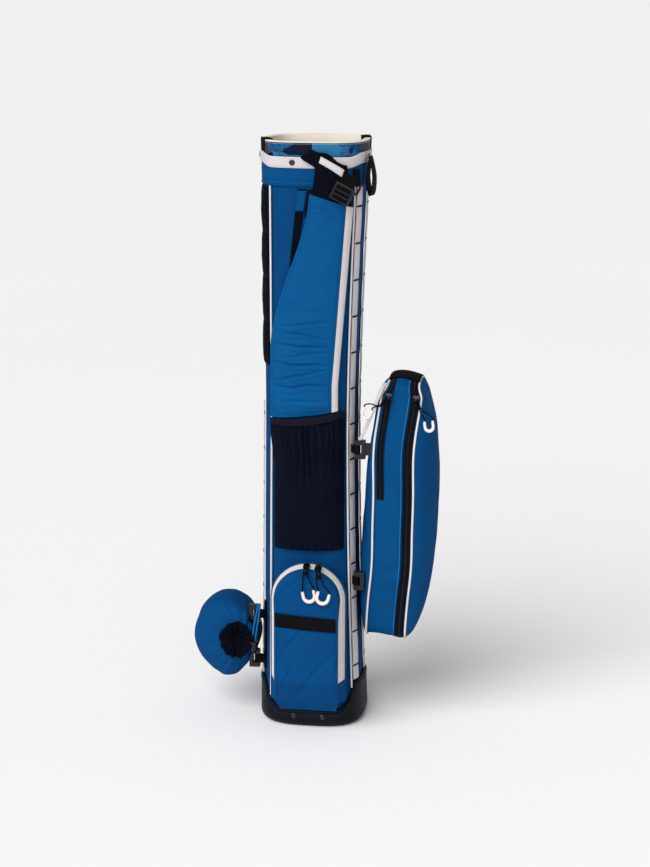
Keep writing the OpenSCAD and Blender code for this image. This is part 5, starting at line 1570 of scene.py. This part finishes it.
def make_side_trim():
    pipes = []
    for x in (SIDE_X0 - 0.2, SIDE_X1 + 0.2):
        path = [side_pt(i, x, out=2.2) for i in range(RING_N)]
        pipes.append(tube("p", path, 1.6, WHITE_PIPING, sides=9, closed=True, ref=(1, 0, 0)))
    place(joined("side_piping_cord", pipes), "side_pocket", "white_trim", "side_piping")
    tapes, teeth, rows = [], [], []
    x_axis = SIDE_FRAME.to_3x3() @ Vector((1, 0, 0))
    zips = ((ZIP_SHORT, side_run(18, 0, 60), 10), (ZIP_LONG, side_run(-CAP_S, 58, 60), 0))
    for (x0, x1), run, clear in zips:
        last = len(run) - 1

        def tape(u, v, x0=x0, x1=x1, run=run, last=last):
            lip = 0.45 if 0.28 < u < 0.42 or 0.58 < u < 0.72 else 0
            return run_pt(mix(x0, x1, u), run[round(v * last)], 2.6 + lip + 0.2 * wob(v * 40, u * 2, 2.0))

        tapes.append(slab("tape", tape, 18, last, NAVY_TAPE, t=1.0))
        path = [run_pt((x0 + x1) / 2, spot, 2.9) for spot in run]
        for k, (p, t) in enumerate(at_length(path, 1.5)):
            teeth.append((p + x_axis * (0.8 if k % 2 else -0.8), t, x_axis, x_axis.cross(t).normalized()))
        rows += [[run_pt(x, spot, 2.7) for spot in run[clear:]] for x in (x0 + 0.5, x1 - 0.5)]
    place(joined("side_zip_tapes", tapes), "side_pocket", "navy_cloth", "side_zips")
    place(blocks("side_zip_teeth", teeth, (1.2, 2.2, 0.8), DARK_TEETH), "side_pocket", "black_plastic")
    sew("side_zip_stitches", rows, BLUE_THREAD, "side_pocket", "navy_cloth", r=0.3)

    def top(u, v):
        a = mix(56, 150, v)
        roll = cap_bulge(mix(SIDE_X1, SIDE_X0, u), 205) + 0.5 * wob(v * 8, u * 2, 3.0)
        y, up = -CAP_Y * cosd(a) * 1.03, CAP_S + 24 * sind(a) + 3.6 + roll
        at_x, at_s = cap_shape(mix(SIDE_X1 + 0.4, SIDE_X0 - 0.4, u), up)
        return SIDE_FRAME @ Vector((at_x, y, at_s))

    place(slab("side_binding_tape", top, 24, 40, WEB, t=1.4), "side_pocket", "black_webbing",
          "side_top_binding")
    # A thin tube along the long zip's fold, in the lighter cord blue: the fold's ridge, with its highlight
    # painted on.
    fold = [run_pt(33.2, spot, 2.0) for spot in side_run(-CAP_S, 58, 56)]
    place(tube("side_zip_fold_highlight", fold, 0.9, BLUE_CORD, sides=8), "side_pocket", "blue_cloth")
    strip = ((-5, -36, 189), (-10, -50, 180), (-19, -56, 152), (-28, -56, 124), (-36, -53, 103))
    hung = ribbon("side_hanging_strip", [SIDE_FRAME @ Vector(p) for p in strip], 7, 1.2, WHITE,
                  (0.85, -0.5, 0.3))
    place(hung, "side_pocket", "white_trim")


make_side_body()
make_side_panel("side_outer_cloth", "side_outer_panel", SIDE_X1 + 0.3, SIDE_CROWN, 1)
make_side_panel("side_inner_cloth", "side_inner_panel", SIDE_X0 - 0.3, INNER_CROWN, -1)
make_side_trim()


# ---- ball pouch ----
POUCH_RINGS = ((0.30, 0.5, 0), (0.62, 0.46, 0), (0.86, 0.37, 0), (0.97, 0.22, 0), (1, 0, 0),
               (0.97, -0.2, 0.1),
               (0.86, -0.34, 0.35), (0.66, -0.43, 0.7), (0.42, -0.48, 0.95))


def egg(a):
    """The pouch's outline from behind: narrower below."""
    c, s = cosd(a), sind(a)
    narrow = 1 - 0.3 * (-s) ** 1.5 if s < 0 else 1
    return POUCH_W2 * c * narrow, (POUCH_TOP - 2 if s < 0 else POUCH_TOP) * s


def pouch_folds(a, v):
    """Large soft folds that run to the drawn neck, and a slack hollow above and below it."""
    to_neck = ease((v - 0.45) / 0.5)
    c, s = cosd(a), sind(a)
    fold = 5.0 * wob(c * 1.5, s * 1.5, v * 1.5) + 2.2 * wob(c * 3.2, s * 3.2, v * 1.1 + 4)
    sharp = -9 * abs(wob(c * 4.4, s * 4.4, v * 0.5 + 9)) * ease((v - 0.6) / 0.35)
    return min(1.4, fold * (0.5 + 0.6 * to_neck) - 0.6) + sharp


def make_pouch():
    route = smooth_path([Vector((k, y, m)) for k, y, m in POUCH_RINGS], 60)

    def at(u, v, inset=0.0):
        k = route[round(v * 60)]
        a = 360 * u
        e = egg(a)
        f = max(0.05, k.x + (pouch_folds(a, v) - inset) / POUCH_W2)
        return POUCH_AT + Vector((e[0] * f + POUCH_NECK[0] * k.z, k.y * POUCH_LEN,
                                  e[1] * f + POUCH_NECK[1] * k.z))

    back = POUCH_AT + Vector((0, 0.5 * POUCH_LEN + 0.4, 0))
    rows = [[at(1 - i / 128, j / 60) for i in range(128)] for j in range(61)]
    mouth = POUCH_AT + Vector((POUCH_NECK[0], NECK_Y + 3, POUCH_NECK[1]))
    bag = surface("pouch_cloth", rows, BLUE_FACE, wrap=True, poles=(back, mouth), sharp=80)
    place(bag, "pouch", "blue_cloth", "pouch")


def make_collar():
    """The gathered collar: pleats that converge on the drawn middle and flare to an uneven rim."""
    neck = POUCH_AT + Vector((POUCH_NECK[0], NECK_Y - 0.2, POUCH_NECK[1]))
    to = Matrix.Translation(neck) @ turned(90, "X")
    section = smooth_path([(16.5, 0, 0), (16.2, 0, 4), (20, 0, 7), (25, 0, 10), (26.6, 0, 11.6),
                           (24.5, 0, 12.2), (16, 0, 9.6),
                           (8, 0, 6), (3, 0, 3.4)], 40)
    n = 240

    def ring(p, f):
        row = []
        for i in range(n):
            a = 360 * i / n
            c, s = cosd(a), sind(a)
            phase = 13 * a + 170 * wob(c * 1.6, s * 1.6, 1.0 + f * 0.4)
            deep = 2.1 * ease(f * 3) * ease((p.x - 2) / 8) * (0.7 + 0.6 * wob(c * 2.5, s * 2.5, 3.0))
            ragged = 2.2 * wob(c * 2.2, s * 2.2, 6.0) * ease((p.x - 14) / 8)
            r = p.x + (ragged + 0.45 * sind(phase) - 0.4) * ease((p.x - 14) / 6)
            h = p.z + deep * sind(phase) - 0.8 + 1.2 * wob(c * 1.5, s * 1.5, 8.0)
            row.append(to @ Vector((r * c, r * s * 1.12, h)))
        return row

    rows = [ring(p, j / 40) for j, p in enumerate(section)]
    poles = (to @ Vector((0, 0, 0.2)), to @ Vector((0, 0, 2.4)))
    place(surface("pouch_collar_cloth", rows, NAVY, wrap=True, poles=poles, sharp=80), "pouch", "navy_cloth",
          "pouch_collar")
    r = NECK_R + CORD_R + 0.1
    loop = [to @ Vector((r * cosd(a), r * sind(a), 2.5)) for a in steps(0, 360, 72)[:-1]]
    place(tube("pouch_neck_cord", loop, CORD_R, BLUE_CORD, sides=8, closed=True), "pouch", "blue_cord")


make_pouch()
make_collar()


# ---- webbing loops that the clips run in ----
def make_clip_loops():
    made = []
    for at, zs, a, off in ((CLIP_AT, CLIP_ZS, 329, RAIL_T + 3), (POUCH_CLIP_AT, POUCH_CLIP_ZS, 208, 1)):
        for z in zs:
            base = tube_pt(a, z, GAP + off)
            d = (Vector((base.x, base.y)) - Vector(at)).normalized()
            side = Vector((-d.y, d.x))
            r = 3.3
            path = [Vector((base.x, base.y)) + side * 2.0, Vector(at) + side * r + d * 1.5]
            path += [Vector(at) + r * (side * cosd(t) - d * sind(t)) for t in steps(10, 170, 8)]
            path += [Vector(at) - side * r + d * 1.5, Vector((base.x, base.y)) - side * 2.0]
            route = [Vector((p.x, p.y, z)) for p in path]
            made.append(ribbon("loop", route, 12, 1.1, WEB, (0, 0, 1), n=50))

    def tab(u, v):
        z = mix(POUCH_CLIP_ZS[1] - 14, POUCH_CLIP_ZS[0] + 22, v)
        return tube_pt(mix(203, 213, u), z, GAP + 1.7)

    made.append(slab("tab", tab, 8, 40, WEB, t=1.3))
    place(joined("clip_webbing_loops", made), "bag", "black_webbing", "clip_loops")


make_clip_loops()


# ---- CAD pieces whose shape is right: a better finish, and rounded edges on a copy that stands for it ----
KEPT = {"base_collar": BLACK, "stays": STEEL, "cuff_ring": BLACK, "divider_bar": DARK_METAL,
        "strap_ring": DARK_METAL}
ROUNDED = {
    "strap_buckle": ("strap", "black_plastic", BUCKLE, 0.7),
    "pocket_slider_left": ("pocket_slider_a", "dark_metal", DARK_METAL, 0.5),
    "pocket_slider_right": ("pocket_slider_b", "dark_metal", DARK_METAL, 0.5),
    "side_slider_short": ("side_slider_a", "dark_metal", DARK_METAL, 0.5),
    "side_slider_long": ("side_slider_b", "dark_metal", DARK_METAL, 0.5),
    "side_clips": ("side_pocket", "black_plastic", BUCKLE, 1.6),
    "pouch_clips": ("pouch", "black_plastic", BUCKLE, 1.6),
    "pouch_lock_button": ("lock_button", "black_plastic", BLACK, 0.6),
}


def round_edges(mesh, wide):
    """Rounds a mesh's sharp edges by a width in millimetres."""
    bm = bmesh.new()
    bm.from_mesh(mesh)
    bmesh.ops.remove_doubles(bm, verts=bm.verts, dist=0.00001)
    bmesh.ops.dissolve_limit(bm, angle_limit=math.radians(1), verts=bm.verts, edges=bm.edges)
    sharp = [e for e in bm.edges if len(e.link_faces) == 2 and e.calc_face_angle(0) > math.radians(40)]
    bmesh.ops.bevel(bm, geom=sharp, offset=wide * MM, segments=3, profile=0.5, affect="EDGES",
                    clamp_overlap=True)
    bmesh.ops.triangulate(bm, faces=[f for f in bm.faces if len(f.verts) > 4])
    bm.to_mesh(mesh)
    bm.free()
    mesh.polygons.foreach_set("use_smooth", [True] * len(mesh.polygons))
    mesh.set_sharp_from_angle(angle=math.radians(35))


def finish(mesh, mat):
    mesh.materials.clear()
    mesh.materials.append(mat)


for node, mat in KEPT.items():
    finish(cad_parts[node].data, mat)
for node, (body, slot, mat, wide) in ROUNDED.items():
    copy = bpy.data.objects.new(f"{node}_moulded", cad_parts[node].data.copy())
    scene.collection.objects.link(copy)
    round_edges(copy.data, wide)
    finish(copy.data, mat)
    place(copy, body, slot, node)
